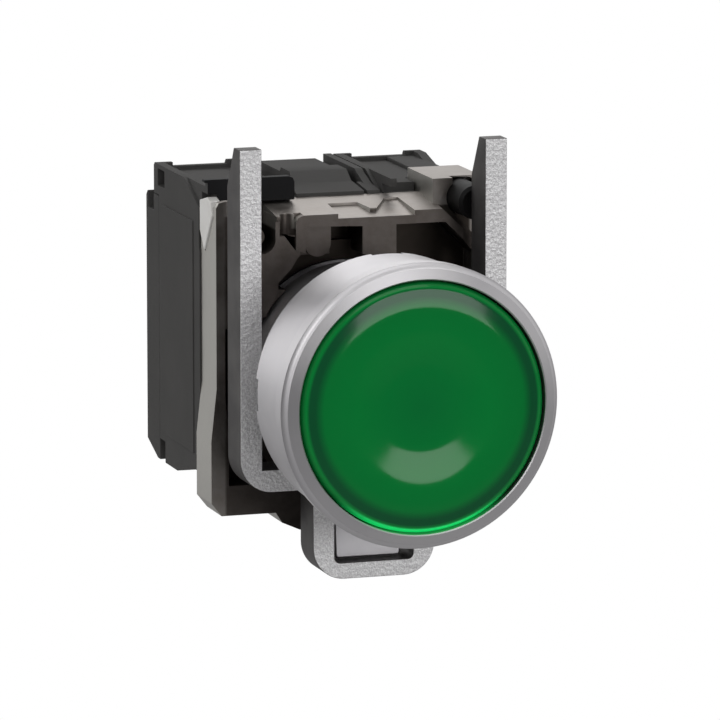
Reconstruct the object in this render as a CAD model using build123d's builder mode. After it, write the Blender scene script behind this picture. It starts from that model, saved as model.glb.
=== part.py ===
from build123d import *
import math
import os

os.makedirs("parts", exist_ok=True)

# Illuminated push button for a 22 mm panel hole, in millimetres.
# The button's axis runs along Y. The button faces -Y, the contact blocks are at +Y, +Z is up.
# The origin is on the button's axis, in the plane of the panel's front face.

# Clearances
run_gap = 0.08          # round piece that slides in a round hole
slide_gap = 0.15        # piece that slides beside a flat wall
seat_gap = 0.05         # piece that is only dropped into its place

# Head in front of the panel
bezel_r = 14.75
bezel_front = -13.3
bezel_face_r = 14.2
bezel_face_drop = 0.6
bezel_lip_round = 0.87
bezel_lip_depth = 3.6
barrel_front_r = 14.05
barrel_back_r = 14.0
barrel_back = -0.6
barrel_notch_w = 3.3
barrel_notch_depth = 1.0
head_bore_r = 13.1
head_floor_back = -1.6
head_floor_thickness = 0.8

# Sleeve that goes through the panel hole
sleeve_r = 11.0
sleeve_wall = 1.4
sleeve_back = 14.4
key_w = 2.6
key_height = 0.9
key_back = 6.0
lock_groove_front = 12.2
lock_groove_back = 13.6
lock_groove_r = 10.3

# Button
press_travel = 4.3
cap_r = 12.95
cap_proud = 0.25
cap_edge_r = 12.15
cap_crest_r = 9.2
cap_dish_r = 7.9
cap_dish_sphere_r = 60.0
cap_border_round = 14.3
cap_edge_drop = 0.85
cap_wall = 0.55
cap_skirt_back = bezel_front + 1.8
diffuser_r = 11.6
diffuser_thickness = 0.55
carrier_flange_front = bezel_front + 1.55
carrier_flange_back = carrier_flange_front + 1.95
carrier_flange_r = 12.55
carrier_neck_r = 12.0
seal_groove_r = 11.6
seal_front = carrier_flange_front + 0.4
seal_back = carrier_flange_front + 1.5
guide_bore_r = 8.2
carrier_tube_wall = 1.2
carrier_tube_back = 6.0
leg_in = 6.9
leg_out = 9.1
leg_h = 4.0
leg_front = 1.6
leg_back = 11.75
clip_r = 8.85
clip_thickness = 0.5
spring_wire_r = 0.25
spring_mean_r = 10.9
spring_turns = 2.75

# Panel and gasket
panel_gap = 3.0
gasket_r = 12.55
gasket_recess_r = 12.7

# Clamp yoke
yoke_depth = 4.5
yoke_half_w = 14.45
yoke_arm_w = 2.35
yoke_top = 24.65
yoke_bar_bottom = -11.15
yoke_bar_h = 2.35
yoke_corner_r = 3.45
yoke_tip_depth = 2.1
yoke_taper_h = 4.3
yoke_edge = 0.06
loop_half_w = 6.6
loop_bottom = -20.8
loop_floor_h = 1.7
loop_corner_r = 3.4
window_corner_r = 0.6
yoke_sleeve_gap = 0.4

# Collar
collar_front = 10.75
frame_front = 9.7
flank_front = 9.95
collar_back = 16.2
collar_plate = 1.4
ring_front = 13.6
collar_half_w = 14.7
collar_foot_half_w = 15.3
collar_bottom = -15.0
collar_lug_bottom = -16.95
shelf_top = 16.5
shelf_back_top = 17.4
shelf_thickness = 1.4
shelf_end = 9.65
diagonal_end_z = 11.7
collar_ring_r = 13.15
collar_bore_gap = 0.15
lug_x = 9.2
lug_step_x = 11.4
lug_half_x = 14.85
lug_top = 19.4
lug_front = 11.6
lug_step_front = 12.9
lug_pocket_depth = 2.0
lug_back = 20.0
lip_top = 18.2
lever_ear_front = 9.8
lever_ear_in = 3.05
lever_ear_out = 4.15

# Clamp screw
clamp_screw_x = 12.6
clamp_screw_z = 17.3
clamp_screw_r = 1.8
clamp_screw_length = 11.0
driver_hole_r = 1.35

# Locking lever, a rocker whose tab stands in the yoke's loop
lever_pivot_y = 10.9
lever_pivot_z = -13.3
lever_pin_r = 0.75
lever_half_w = 2.9
lever_thickness = 1.2
lever_tab_front = 4.6
lever_tab_left = -3.8
lever_tab_right = 3.4
lever_tab_bottom = -18.65
lever_arm_top = -14.6
lever_hook_front = 12.25
lever_hook_back = 13.05
lever_hook_top = -10.45
lever_room_back = 14.7
lever_room_bottom = -15.9

# Contact and lamp blocks
block_pitch = 10.0
block_w = 9.8
block_front = collar_back
block_hook_front = 14.2
block_split = 31.5
block_back = 36.4
block_post_back = 33.4
block_top = 19.2
block_tab_top = 20.0
block_hook_bottom = 17.5
block_rear_wall_top = 18.75
block_ledge_top = 15.8
block_floor_front = -11.2
block_floor = -12.8
block_floor_back = -11.3
tray_floor = 18.3
ramp_half_w = 3.15
ramp_crease_y = 20.6
ramp_crease_z = 18.2
bar_front = 22.3
bar_back = 25.4
block_wall = 1.0
post_w = 1.9
cavity_half_w = 3.7
cavity_front = 18.0
cavity_top = 13.6
cavity_bottom = -9.2

# Terminals, the same in every block
terminal_mid_z = 2.2
terminal_pitch = 15.2
terminal_front = 30.4
terminal_thickness = 0.8
screw_shaft_r = 1.5
screw_head_r = 2.6
screw_head_h = 2.05
screw_shaft_length = 4.0
washer_w = 5.4
washer_thickness = 0.9
washer_travel = 1.6
strip_w = 7.3
wire_w = 4.4

# Switching parts inside a contact block
plunger_x = 8.0
plunger_z = 0.75
plunger_r = 1.3
plunger_tip = 12.05
carriage_half_w = 3.3
carriage_half_h = 2.5
carriage_front = 18.4
carriage_back = 26.4
bridge_slot_front = 20.4
bridge_slot_back = 25.4
bridge_w = 2.6
bridge_thickness = 0.45
bridge_half_l = 4.6
no_travel = 2.6
nc_travel = 1.5
rivet_r = 0.9
rivet_h = 0.45

# Lamp
lamp_r = 3.4
lamp_front = 5.6
led_r = 2.5
led_front = 1.6
board_front = 27.5
board_thickness = 1.0

# White retaining latch of the left block
latch_w = 1.15
latch_front = 11.75
latch_back = 16.1
latch_top = 18.3
latch_tip = 12.6


def front_plane(y):
    """Plane across the button's axis at depth y, with X to the right and Z up."""
    return Plane(origin=(0, y, 0), x_dir=(1, 0, 0), z_dir=(0, -1, 0))


def side_plane(x):
    """Plane along the button's axis at x, with Y and Z as its two directions."""
    return Plane(origin=(x, 0, 0), x_dir=(0, 1, 0), z_dir=(1, 0, 0))


# Bezel and sleeve: one turned and milled casting
bezel_mid = bezel_front + bezel_lip_depth
sleeve_bore_r = sleeve_r - sleeve_wall
head_floor_front = head_floor_back - head_floor_thickness
with BuildPart() as bezel:
    with BuildSketch(Plane.XY):
        with BuildLine():
            Polyline(
                (head_bore_r, bezel_front + 0.12),
                (head_bore_r + 0.12, bezel_front),
                (bezel_face_r, bezel_front + bezel_face_drop),
            )
            RadiusArc(
                (bezel_face_r, bezel_front + bezel_face_drop),
                (bezel_r, bezel_front + bezel_face_drop + 0.7),
                bezel_lip_round,
            )
            Polyline(
                (bezel_r, bezel_front + bezel_face_drop + 0.7),
                (bezel_r - 0.1, bezel_mid - 0.15),
                (bezel_r - 0.25, bezel_mid),
                (barrel_front_r, bezel_mid + 0.15),
                (barrel_back_r, barrel_back - 0.25),
                (barrel_back_r - 0.25, barrel_back),
                (gasket_recess_r, barrel_back),
                (gasket_recess_r, head_floor_back),
                (sleeve_r, head_floor_back),
                (sleeve_r, lock_groove_front),
                (lock_groove_r, lock_groove_front),
                (lock_groove_r, lock_groove_back),
                (sleeve_r, lock_groove_back),
                (sleeve_r, sleeve_back - 0.3),
                (sleeve_r - 0.3, sleeve_back),
                (sleeve_bore_r, sleeve_back),
                (sleeve_bore_r, head_floor_back + 0.6),
                (guide_bore_r, head_floor_back + 0.6),
                (guide_bore_r, head_floor_front),
                (head_bore_r, head_floor_front),
                (head_bore_r, bezel_front + 0.12),
            )
        make_face()
    revolve(axis=Axis.Y)
    # Four notches in the barrel's rear edge
    with BuildSketch(front_plane(barrel_back)):
        with PolarLocations(barrel_back_r, 4):
            Rectangle(2.0, barrel_notch_w)
        Circle(gasket_recess_r, mode=Mode.SUBTRACT)
    extrude(amount=barrel_notch_depth, mode=Mode.SUBTRACT)
    # Key on top of the sleeve that stops the head from turning in the panel
    with BuildSketch(front_plane(barrel_back)):
        with Locations((0, sleeve_r - 0.2 + (key_height + 0.2) / 2)):
            Rectangle(key_w, key_height + 0.2)
    extrude(amount=-(key_back - barrel_back))
    # Slots in the inner floor that let the carrier's legs through
    with BuildSketch(front_plane(head_floor_back + 0.6)):
        Rectangle(2 * (leg_out + slide_gap), leg_h + 2 * slide_gap)
    extrude(amount=head_floor_thickness + 0.6, mode=Mode.SUBTRACT)
bezel.part.label = "bezel"
export_step(bezel.part, "parts/bezel.step")

# Rubber gasket between the bezel and the panel
with BuildPart() as gasket:
    with BuildSketch(front_plane(0)):
        Circle(gasket_r)
        Circle(sleeve_r + seat_gap, mode=Mode.SUBTRACT)
    extrude(amount=-head_floor_back)
    # The panel's side has a thin sealing lip
    with BuildSketch(front_plane(0)):
        Circle(gasket_r - 0.55)
        Circle(gasket_r - 0.95, mode=Mode.SUBTRACT)
    extrude(amount=0.25, mode=Mode.SUBTRACT)
    # Relief for the sleeve's key
    with BuildSketch(front_plane(0)):
        with Locations((0, sleeve_r)):
            Rectangle(key_w + 2 * seat_gap, 2 * (key_height + seat_gap))
    extrude(amount=-barrel_back, mode=Mode.SUBTRACT)
gasket.part.label = "panel_gasket"
export_step(gasket.part, "parts/panel_gasket.step")

# Green lens cap: a shallow dish inside a rounded border, with a small rounding down to the rim
cap_front = bezel_front - cap_proud
crest_half_w = cap_crest_r - cap_dish_r
dish_slope = math.asin(cap_dish_r / cap_dish_sphere_r)
crest_round = crest_half_w / math.sin(dish_slope)
dish_edge_y = cap_front + crest_round * (1 - math.cos(dish_slope))
dish_centre_y = dish_edge_y + cap_dish_sphere_r * (1 - math.cos(dish_slope))
border_half_w = cap_edge_r - cap_crest_r
border_drop = cap_border_round - math.sqrt(cap_border_round**2 - border_half_w**2)
cap_edge_y = cap_front + border_drop
cap_inner_r = cap_r - 0.75
with BuildPart() as lens_cap:
    with BuildSketch(Plane.XY):
        with BuildLine():
            Line((0, dish_centre_y), (0, dish_centre_y + cap_wall))
            RadiusArc(
                (0, dish_centre_y + cap_wall),
                (cap_dish_r, dish_edge_y + cap_wall),
                cap_dish_sphere_r,
            )
            Polyline(
                (cap_dish_r, dish_edge_y + cap_wall),
                (cap_inner_r, dish_edge_y + cap_wall),
                (cap_inner_r, cap_skirt_back),
                (cap_r, cap_skirt_back),
                (cap_r, cap_edge_y + cap_edge_drop),
            )
            RadiusArc((cap_r, cap_edge_y + cap_edge_drop), (cap_edge_r, cap_edge_y), -0.95)
            RadiusArc((cap_edge_r, cap_edge_y), (cap_crest_r, cap_front), -cap_border_round)
            RadiusArc((cap_crest_r, cap_front), (cap_dish_r, dish_edge_y), -crest_round)
            RadiusArc((cap_dish_r, dish_edge_y), (0, dish_centre_y), -cap_dish_sphere_r)
        make_face()
    revolve(axis=Axis.Y)
lens_cap.part.label = "lens_cap"
export_step(lens_cap.part, "parts/lens_cap.step")

# White diffuser disc behind the lens
with BuildPart() as diffuser:
    with BuildSketch(front_plane(carrier_flange_front)):
        Circle(diffuser_r)
    extrude(amount=diffuser_thickness)
diffuser.part.label = "diffuser"
export_step(diffuser.part, "parts/diffuser.step")

# Carrier: flange for the cap, guide tube and two legs that push the contact plungers
carrier_tube_r = guide_bore_r - run_gap
carrier_tube_bore_r = carrier_tube_r - carrier_tube_wall
clip_front = head_floor_back + 0.6 + slide_gap
with BuildPart() as carrier:
    with BuildSketch(Plane.XY):
        with BuildLine():
            Polyline(
                (carrier_tube_bore_r, carrier_flange_front),
                (carrier_neck_r, carrier_flange_front),
                (carrier_neck_r, seal_front - seat_gap),
                (seal_groove_r, seal_front - seat_gap),
                (seal_groove_r, seal_back + seat_gap),
                (carrier_flange_r, seal_back + seat_gap),
                (carrier_flange_r, carrier_flange_back),
                (carrier_tube_r, carrier_flange_back),
                (carrier_tube_r, clip_front - seat_gap),
                (carrier_tube_r - 0.4, clip_front - seat_gap),
                (carrier_tube_r - 0.4, clip_front + clip_thickness + seat_gap),
                (carrier_tube_r, clip_front + clip_thickness + seat_gap),
                (carrier_tube_r, carrier_tube_back),
                (carrier_tube_bore_r, carrier_tube_back),
                close=True,
            )
        make_face()
    revolve(axis=Axis.Y)
    leg_mid = (leg_in + leg_out) / 2
    with BuildSketch(front_plane(leg_front)):
        with Locations((-leg_mid, 0), (leg_mid, 0)):
            Rectangle(leg_out - leg_in, leg_h)
    extrude(amount=-(leg_back - leg_front))
carrier.part.label = "button_carrier"
export_step(carrier.part, "parts/button_carrier.step")

# Lip seal in the carrier's groove, sliding in the bezel's bore
with BuildPart() as lip_seal:
    with BuildSketch(front_plane(seal_back)):
        Circle(head_bore_r - run_gap)
        Circle(seal_groove_r + seat_gap, mode=Mode.SUBTRACT)
    extrude(amount=seal_back - seal_front)
lip_seal.part.label = "lip_seal"
export_step(lip_seal.part, "parts/lip_seal.step")

# Retaining clip behind the bezel's inner floor: an open ring of spring steel
with BuildPart() as carrier_clip:
    with BuildSketch(front_plane(clip_front + clip_thickness)):
        Circle(clip_r)
        Circle(carrier_tube_r - 0.4 + seat_gap, mode=Mode.SUBTRACT)
        with Locations((0, -clip_r)):
            Rectangle(7.0, 2 * clip_r, mode=Mode.SUBTRACT)
    extrude(amount=clip_thickness)
carrier_clip.part.label = "carrier_clip"
export_step(carrier_clip.part, "parts/carrier_clip.step")

# Return spring of the button, between the inner floor and the carrier's flange
spring_front = carrier_flange_back + spring_wire_r + 0.02
spring_back = head_floor_front - spring_wire_r - 0.02
spring_length = spring_back - spring_front
with BuildPart() as return_spring:
    with BuildLine() as spring_path:
        Helix(spring_length / spring_turns, spring_length, spring_mean_r, (0, spring_front, 0), (0, 1, 0))
    with BuildSketch(Plane(origin=spring_path.line @ 0, z_dir=spring_path.line % 0)):
        Circle(spring_wire_r)
    sweep(path=spring_path.line, is_frenet=True)
return_spring.part.label = "return_spring"
export_step(return_spring.part, "parts/return_spring.step")

# Clamp yoke: a sand-cast fork whose front face presses the panel from behind
yoke_front = panel_gap
yoke_back = yoke_front + yoke_depth
window_half_w = loop_half_w - yoke_arm_w + 0.05
window_floor = loop_bottom + loop_floor_h
with BuildPart() as clamp_yoke:
    with BuildSketch(front_plane(yoke_front)) as yoke_outline:
        with BuildLine():
            Polyline(
                (-yoke_half_w, yoke_top),
                (yoke_half_w, yoke_top),
                (yoke_half_w, yoke_bar_bottom),
                (loop_half_w, yoke_bar_bottom),
                (loop_half_w, loop_bottom),
                (-loop_half_w, loop_bottom),
                (-loop_half_w, yoke_bar_bottom),
                (-yoke_half_w, yoke_bar_bottom),
                close=True,
            )
        make_face()
        fillet(yoke_outline.vertices().group_by(Axis.Y)[0], loop_corner_r)
        left_corner = yoke_outline.vertices().group_by(Axis.X)[0].sort_by(Axis.Y)[0]
        right_corner = yoke_outline.vertices().group_by(Axis.X)[-1].sort_by(Axis.Y)[0]
        fillet([left_corner, right_corner], yoke_corner_r)
    extrude(amount=-yoke_depth)
    # The opening between the arms, round the sleeve and down through the loop
    with BuildSketch(front_plane(yoke_front)) as yoke_opening:
        arm_gap = yoke_half_w - yoke_arm_w
        bar_top = yoke_bar_bottom + yoke_bar_h
        with Locations((0, (yoke_top + 1 + bar_top) / 2)):
            Rectangle(2 * arm_gap, yoke_top + 1 - bar_top)
        Circle(sleeve_r + yoke_sleeve_gap)
        with Locations((0, window_floor / 2)):
            Rectangle(2 * window_half_w, -window_floor)
        window_corners = yoke_opening.vertices().group_by(Axis.Y)[0]
        fillet(window_corners, window_corner_r)
    extrude(amount=-yoke_depth, mode=Mode.SUBTRACT)
    front_face = clamp_yoke.faces().sort_by(Axis.Y)[0]
    chamfer(front_face.edges(), yoke_edge)
    # The arms' tips are thinner than the arms
    with BuildSketch(side_plane(-yoke_half_w - 1)):
        with BuildLine():
            Polyline(
                (yoke_front + yoke_tip_depth, yoke_top + 1),
                (yoke_front + yoke_tip_depth, yoke_top),
                (yoke_back, yoke_top - yoke_taper_h),
                (yoke_back + 1, yoke_top - yoke_taper_h),
                (yoke_back + 1, yoke_top + 1),
                close=True,
            )
        make_face()
    extrude(amount=2 * yoke_half_w + 2, mode=Mode.SUBTRACT)
clamp_yoke.part.label = "clamp_yoke"
export_step(clamp_yoke.part, "parts/clamp_yoke.step")

# Clamp screw: a headless screw in the collar's lug that pushes the right arm of the yoke
with BuildPart() as clamp_screw:
    with BuildSketch(front_plane(yoke_back)):
        with Locations((clamp_screw_x, clamp_screw_z)):
            Circle(clamp_screw_r)
    extrude(amount=-clamp_screw_length)
    chamfer(clamp_screw.edges().filter_by(GeomType.CIRCLE), 0.35)
    with BuildSketch(front_plane(yoke_back + clamp_screw_length)):
        with Locations((clamp_screw_x, clamp_screw_z)):
            Rectangle(0.7, 2 * clamp_screw_r)
            Rectangle(2.2, 0.7)
    extrude(amount=1.2, mode=Mode.SUBTRACT)
clamp_screw.part.label = "clamp_screw"
export_step(clamp_screw.part, "parts/clamp_screw.step")

# Collar body: a pocketed zinc casting that slides over the sleeve from behind
plate_front = collar_back - collar_plate
collar_bore_r = sleeve_r + collar_bore_gap
shelf_bottom = shelf_top - shelf_thickness
opening_r = sleeve_bore_r + 0.3
flare_top = -1.5
flare_bottom = -7.0
foot_top = -13.6
foot_half_w = 14.2
lug_top_half_w = 8.3
lug_step_half_w = 7.6
lug_flat_half_w = 5.7
lug_step_z = -16.1
pocket_floor = -11.85
thin_wall = 0.95
lower_wall = 1.9
frame_left = -6.35
frame_wall = 1.05
frame_end = -1.75
strip_top = 15.98
post_left = 0.9
post_right = 4.6
band_end = 11.95
pill_left = frame_left + frame_wall
pill_right = -2.45
flank_bottom = 6.0
with BuildPart() as collar_body:
    with BuildSketch(front_plane(collar_front)):
        with BuildLine():
            Polyline(
                (shelf_end, shelf_top),
                (collar_half_w, diagonal_end_z),
                (collar_half_w, flare_top),
                (collar_foot_half_w, flare_bottom),
                (collar_foot_half_w, foot_top),
                (foot_half_w, collar_bottom),
                (lug_top_half_w, collar_bottom),
                (lug_step_half_w, lug_step_z),
                (lug_flat_half_w, collar_lug_bottom),
                (-lug_flat_half_w, collar_lug_bottom),
                (-lug_step_half_w, lug_step_z),
                (-lug_top_half_w, collar_bottom),
                (-foot_half_w, collar_bottom),
                (-collar_foot_half_w, foot_top),
                (-collar_foot_half_w, flare_bottom),
                (-collar_half_w, flare_top),
                (-collar_half_w, shelf_top),
                close=True,
            )
        make_face()
    extrude(amount=-(collar_back - collar_front))
    # The shelf rises towards the back
    with BuildSketch(side_plane(frame_left - 2.1)):
        with BuildLine():
            Polyline(
                (collar_front, shelf_top - 1),
                (collar_back, shelf_top - 1),
                (collar_back, shelf_back_top),
                (frame_front, shelf_top),
                (frame_front, shelf_top - 0.5),
                (collar_front, shelf_top - 0.5),
                close=True,
            )
        make_face()
    extrude(amount=shelf_end - frame_left + 2.1)
    # Flank left of the frame, standing a little further forward than the ring
    with BuildSketch(front_plane(flank_front)):
        with BuildLine():
            Polyline(
                (-band_end, shelf_top),
                (frame_left + 0.5, shelf_top),
                (frame_left + 0.5, 12.4),
                (-8.0, flank_bottom + 3.0),
                (-9.6, flank_bottom),
                (-band_end, flank_bottom),
                close=True,
            )
        make_face()
    extrude(amount=-(plate_front - flank_front))
    # Pockets from the front: right of the frame, and the two lower corners
    with BuildSketch(front_plane(frame_front)):
        with BuildLine():
            Polyline(
                (frame_end, shelf_bottom),
                (shelf_end + 0.35, shelf_bottom),
                (collar_half_w - thin_wall, diagonal_end_z - 0.4),
                (collar_half_w - thin_wall, flare_top - 1),
                (collar_foot_half_w - lower_wall, flare_bottom),
                (collar_foot_half_w - lower_wall, pocket_floor),
                (-collar_foot_half_w + lower_wall, pocket_floor),
                (-collar_foot_half_w + lower_wall, flare_bottom),
                (-collar_half_w + thin_wall, flare_top - 1),
                (-collar_half_w + thin_wall, flank_bottom - 1.2),
                (frame_end, flank_bottom - 1.2),
                close=True,
            )
        make_face()
        Circle(collar_ring_r, mode=Mode.SUBTRACT)
    extrude(amount=-(plate_front - frame_front), mode=Mode.SUBTRACT)
    # The upper part of the ring is set back, with a diagonal pocket on its left
    with BuildSketch(front_plane(frame_front)):
        with BuildLine():
            Polyline(
                (-2.4, shelf_bottom),
                (10.5, shelf_bottom),
                (collar_half_w - thin_wall, diagonal_end_z - 0.5),
                (collar_half_w - thin_wall, 5.0),
                (-6.1, 5.0),
                (-6.1, 8.5),
                (-8.2, 8.7),
                (-8.2, 9.5),
                (-5.5, 12.2),
                (-2.4, 12.2),
                close=True,
            )
        make_face()
        Circle(sleeve_bore_r, mode=Mode.SUBTRACT)
    extrude(amount=-(ring_front - frame_front), mode=Mode.SUBTRACT)
    # Raised frame: left wall, top band, relieved strip, full edge and the upper half of the diagonal
    with BuildSketch(front_plane(frame_front)):
        with BuildLine():
            Polyline(
                (frame_left, 12.9),
                (frame_left, shelf_top - 0.8),
                (frame_left + 0.25, shelf_top - 0.25),
                (frame_left + 0.8, shelf_top),
                (frame_end, shelf_top),
                (frame_end, strip_top),
                (6.7, strip_top),
                (6.7, shelf_top),
                (shelf_end, shelf_top),
                (band_end, 14.3),
                (band_end, 13.15),
                (shelf_end + 0.35, shelf_bottom),
                (post_right, shelf_bottom),
                (post_right, collar_bore_r),
                (post_left, collar_bore_r + 1.0),
                (post_left, shelf_bottom),
                (frame_end, shelf_bottom + 0.1),
                (pill_left, shelf_bottom + 0.2),
                (pill_left, 12.5),
                close=True,
            )
        make_face()
    extrude(amount=-(plate_front - frame_front))
    # Pill-shaped boss, set back a little from the frame
    with BuildSketch(front_plane(frame_front + 0.35)):
        with Locations(((pill_left + pill_right) / 2, 14.2)):
            SlotOverall(4.3, pill_right - pill_left, rotation=90)
    extrude(amount=-(plate_front - frame_front - 0.35))
    # Small diagonal pocket, upright scoop and long round pocket in the flank
    with BuildSketch(front_plane(flank_front)):
        with BuildLine():
            Polyline((-7.6, 14.5), (-6.4, 14.3), (-6.4, 12.9), close=True)
        make_face()
        with Locations((-9.95, 15.6)):
            SlotOverall(6.0, 2.9, rotation=90)
    extrude(amount=-(plate_front - flank_front), mode=Mode.SUBTRACT)
    with BuildSketch(Plane.XY.offset(shelf_back_top + 0.5)):
        with Locations((-7.2, flank_front)):
            Circle(0.85)
    extrude(amount=-(shelf_back_top + 0.5 - 14.4), mode=Mode.SUBTRACT)
    # Round pin that stands in the long pocket
    with BuildSketch(front_plane(flank_front + 1.0)):
        with Locations((-10.35, 14.3)):
            Circle(0.95)
    extrude(amount=-(plate_front - flank_front - 1.0))
    # Lip at the front of the left wall
    with BuildSketch(front_plane(collar_front)) as lip:
        with BuildLine():
            Polyline(
                (-collar_half_w, shelf_top - 1),
                (-collar_half_w, lip_top - 0.7),
                (-collar_half_w + 0.3, lip_top - 0.15),
                (-collar_half_w + thin_wall, lip_top),
                (-collar_half_w + thin_wall + 0.9, lip_top),
                (-collar_half_w + thin_wall + 0.9, shelf_top - 1),
                close=True,
            )
        make_face()
    extrude(amount=-(latch_front - 0.2 - collar_front))
    # Screw lug at the upper right, with the pocket that the clamp screw comes out of
    with BuildSketch(front_plane(lug_front)):
        with BuildLine():
            Polyline(
                (lug_x, shelf_top - 1),
                (lug_x, lug_top),
                (lug_half_x, lug_top),
                (lug_half_x, diagonal_end_z - 0.6),
                (band_end, 13.4),
                (shelf_end, shelf_bottom + 0.4),
                close=True,
            )
        make_face()
    extrude(amount=-(lug_back - lug_front))
    with BuildSketch(front_plane(lug_front)):
        with BuildLine():
            Polyline(
                (lug_step_x, lug_top + 1),
                (lug_half_x + 1, lug_top + 1),
                (lug_half_x + 1, shelf_bottom - 4),
                (lug_step_x, shelf_bottom + 0.7),
                close=True,
            )
        make_face()
    extrude(amount=-(lug_step_front - lug_front), mode=Mode.SUBTRACT)
    with BuildSketch(front_plane(lug_step_front)):
        with Locations((clamp_screw_x, clamp_screw_z)):
            RectangleRounded(3.9, 3.9, 1.2)
    extrude(amount=-lug_pocket_depth, mode=Mode.SUBTRACT)
    # Two ears that carry the locking lever's pin
    with BuildSketch(front_plane(lever_ear_front)):
        with Locations((-(lever_ear_in + lever_ear_out) / 2, -13.2), ((lever_ear_in + lever_ear_out) / 2, -13.2)):
            RectangleRounded(lever_ear_out - lever_ear_in, 2.9, 0.4)
    extrude(amount=-(collar_front + 1.5 - lever_ear_front))
    # Bore for the sleeve and opening for the plungers
    with BuildSketch(front_plane(frame_front)):
        Circle(collar_bore_r)
    extrude(amount=-(plate_front - frame_front), mode=Mode.SUBTRACT)
    with BuildSketch(front_plane(plate_front)):
        Circle(opening_r)
    extrude(amount=-collar_plate, mode=Mode.SUBTRACT)
    # Room for the locking lever, from the sleeve's groove down to the lug, and the bore for its pin
    with BuildSketch(front_plane(collar_front)):
        with Locations((0, (lever_room_bottom - sleeve_r + 0.5) / 2)):
            Rectangle(2 * (lever_half_w + slide_gap), -sleeve_r + 0.5 - lever_room_bottom)
    extrude(amount=-(lever_room_back - collar_front), mode=Mode.SUBTRACT)
    with BuildSketch(side_plane(-lever_ear_out)):
        with Locations((lever_pivot_y, lever_pivot_z)):
            Circle(lever_pin_r + seat_gap)
    extrude(amount=2 * lever_ear_out, mode=Mode.SUBTRACT)
    # Bore for the clamp screw
    with BuildSketch(front_plane(lug_back)):
        with Locations((clamp_screw_x, clamp_screw_z)):
            Circle(clamp_screw_r + run_gap)
    extrude(amount=lug_back - frame_front, mode=Mode.SUBTRACT)
    # Rounded upper left corner of the frame
    with BuildSketch(front_plane(frame_front)):
        with BuildLine():
            Polyline(
                (frame_left - seat_gap, shelf_back_top),
                (frame_left - seat_gap, shelf_top - 0.8),
                (frame_left + 0.25, shelf_top - 0.25),
                (frame_left + 0.8, shelf_top),
                (frame_left + 0.8, shelf_back_top),
                close=True,
            )
        make_face()
    extrude(amount=-1.1, mode=Mode.SUBTRACT)
    # Zigzag relief on the shelf, sloping like the shelf itself
    with BuildSketch(Plane(origin=(0, frame_front, strip_top), x_dir=(1, 0, 0), z_dir=(0, -0.2, 1))):
        with BuildLine():
            Polyline(
                (frame_end, -1.0),
                (frame_end, 3.9),
                (1.5, 3.9),
                (2.2, 1.6),
                (2.9, 1.6),
                (4.8, 4.9),
                (6.3, 5.0),
                (6.7, -1.0),
                close=True,
            )
        make_face()
    extrude(amount=2.5, mode=Mode.SUBTRACT)
    # Seat for the white latch in the left wall
    with BuildSketch(side_plane(-collar_half_w - 1)):
        with BuildLine():
            Polyline(
                (latch_front - slide_gap, shelf_back_top + 2),
                (latch_front - slide_gap, latch_top - 1.9),
                (latch_front + 2.85, latch_tip - slide_gap),
                (latch_back + 1, latch_tip + 2.0),
                (latch_back + 1, shelf_back_top + 2),
                close=True,
            )
        make_face()
    extrude(amount=1 + latch_w + slide_gap, mode=Mode.SUBTRACT)
collar_body.part.label = "collar_body"
export_step(collar_body.part, "parts/collar_body.step")

# Locking lever: a stamped rocker that hooks into the sleeve's groove
lever_tab_back = lever_tab_front + lever_thickness
hub_r = lever_pin_r + 0.75
with BuildPart() as locking_lever:
    with BuildSketch(side_plane(-lever_half_w)):
        with BuildLine():
            Polyline(
                (lever_tab_back - 0.1, lever_arm_top),
                (lever_pivot_y - hub_r, lever_arm_top),
                (lever_pivot_y - hub_r, lever_pivot_z + 0.5),
                (lever_pivot_y - 0.5, lever_pivot_z + hub_r - 0.3),
                (lever_hook_front, lever_pivot_z + hub_r - 0.3),
                (lever_hook_front, lever_hook_top - 0.1),
                (lever_hook_front + 0.1, lever_hook_top),
                (lever_hook_back - 0.25, lever_hook_top),
                (lever_hook_back, lever_hook_top - 0.35),
                (lever_hook_back, lever_pivot_z - 0.1),
                (lever_pivot_y + hub_r, lever_pivot_z - 0.1),
                (lever_pivot_y + hub_r - 0.4, lever_arm_top - lever_thickness + 0.6),
                (lever_pivot_y - 0.5, lever_arm_top - lever_thickness),
                (lever_tab_back - 0.1, lever_arm_top - lever_thickness),
                close=True,
            )
        make_face()
    extrude(amount=2 * lever_half_w)
    # The tab, with a slanted left edge and rounded lower corners
    with BuildSketch(front_plane(lever_tab_front)) as lever_tab:
        with BuildLine():
            Polyline(
                (lever_tab_left + 0.8, lever_tab_bottom),
                (lever_tab_right, lever_tab_bottom),
                (lever_tab_right, lever_arm_top),
                (lever_tab_left, lever_arm_top),
                (lever_tab_left, lever_tab_bottom + 2.2),
                close=True,
            )
        make_face()
        fillet(lever_tab.vertices().group_by(Axis.Y)[0], 0.4)
    extrude(amount=-lever_thickness)
    chamfer(locking_lever.faces().sort_by(Axis.Y)[0].edges(), 0.15)
    with BuildSketch(side_plane(-lever_half_w)):
        with Locations((lever_pivot_y, lever_pivot_z)):
            Circle(lever_pin_r + run_gap)
    extrude(amount=2 * lever_half_w, mode=Mode.SUBTRACT)
locking_lever.part.label = "locking_lever"
export_step(locking_lever.part, "parts/locking_lever.step")

with BuildPart() as lever_pin:
    with BuildSketch(side_plane(-lever_ear_out)):
        with Locations((lever_pivot_y, lever_pivot_z)):
            Circle(lever_pin_r)
    extrude(amount=2 * lever_ear_out)
    chamfer(lever_pin.edges().filter_by(GeomType.CIRCLE), 0.12)
lever_pin.part.label = "lever_pin"
export_step(lever_pin.part, "parts/lever_pin.step")

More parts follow.
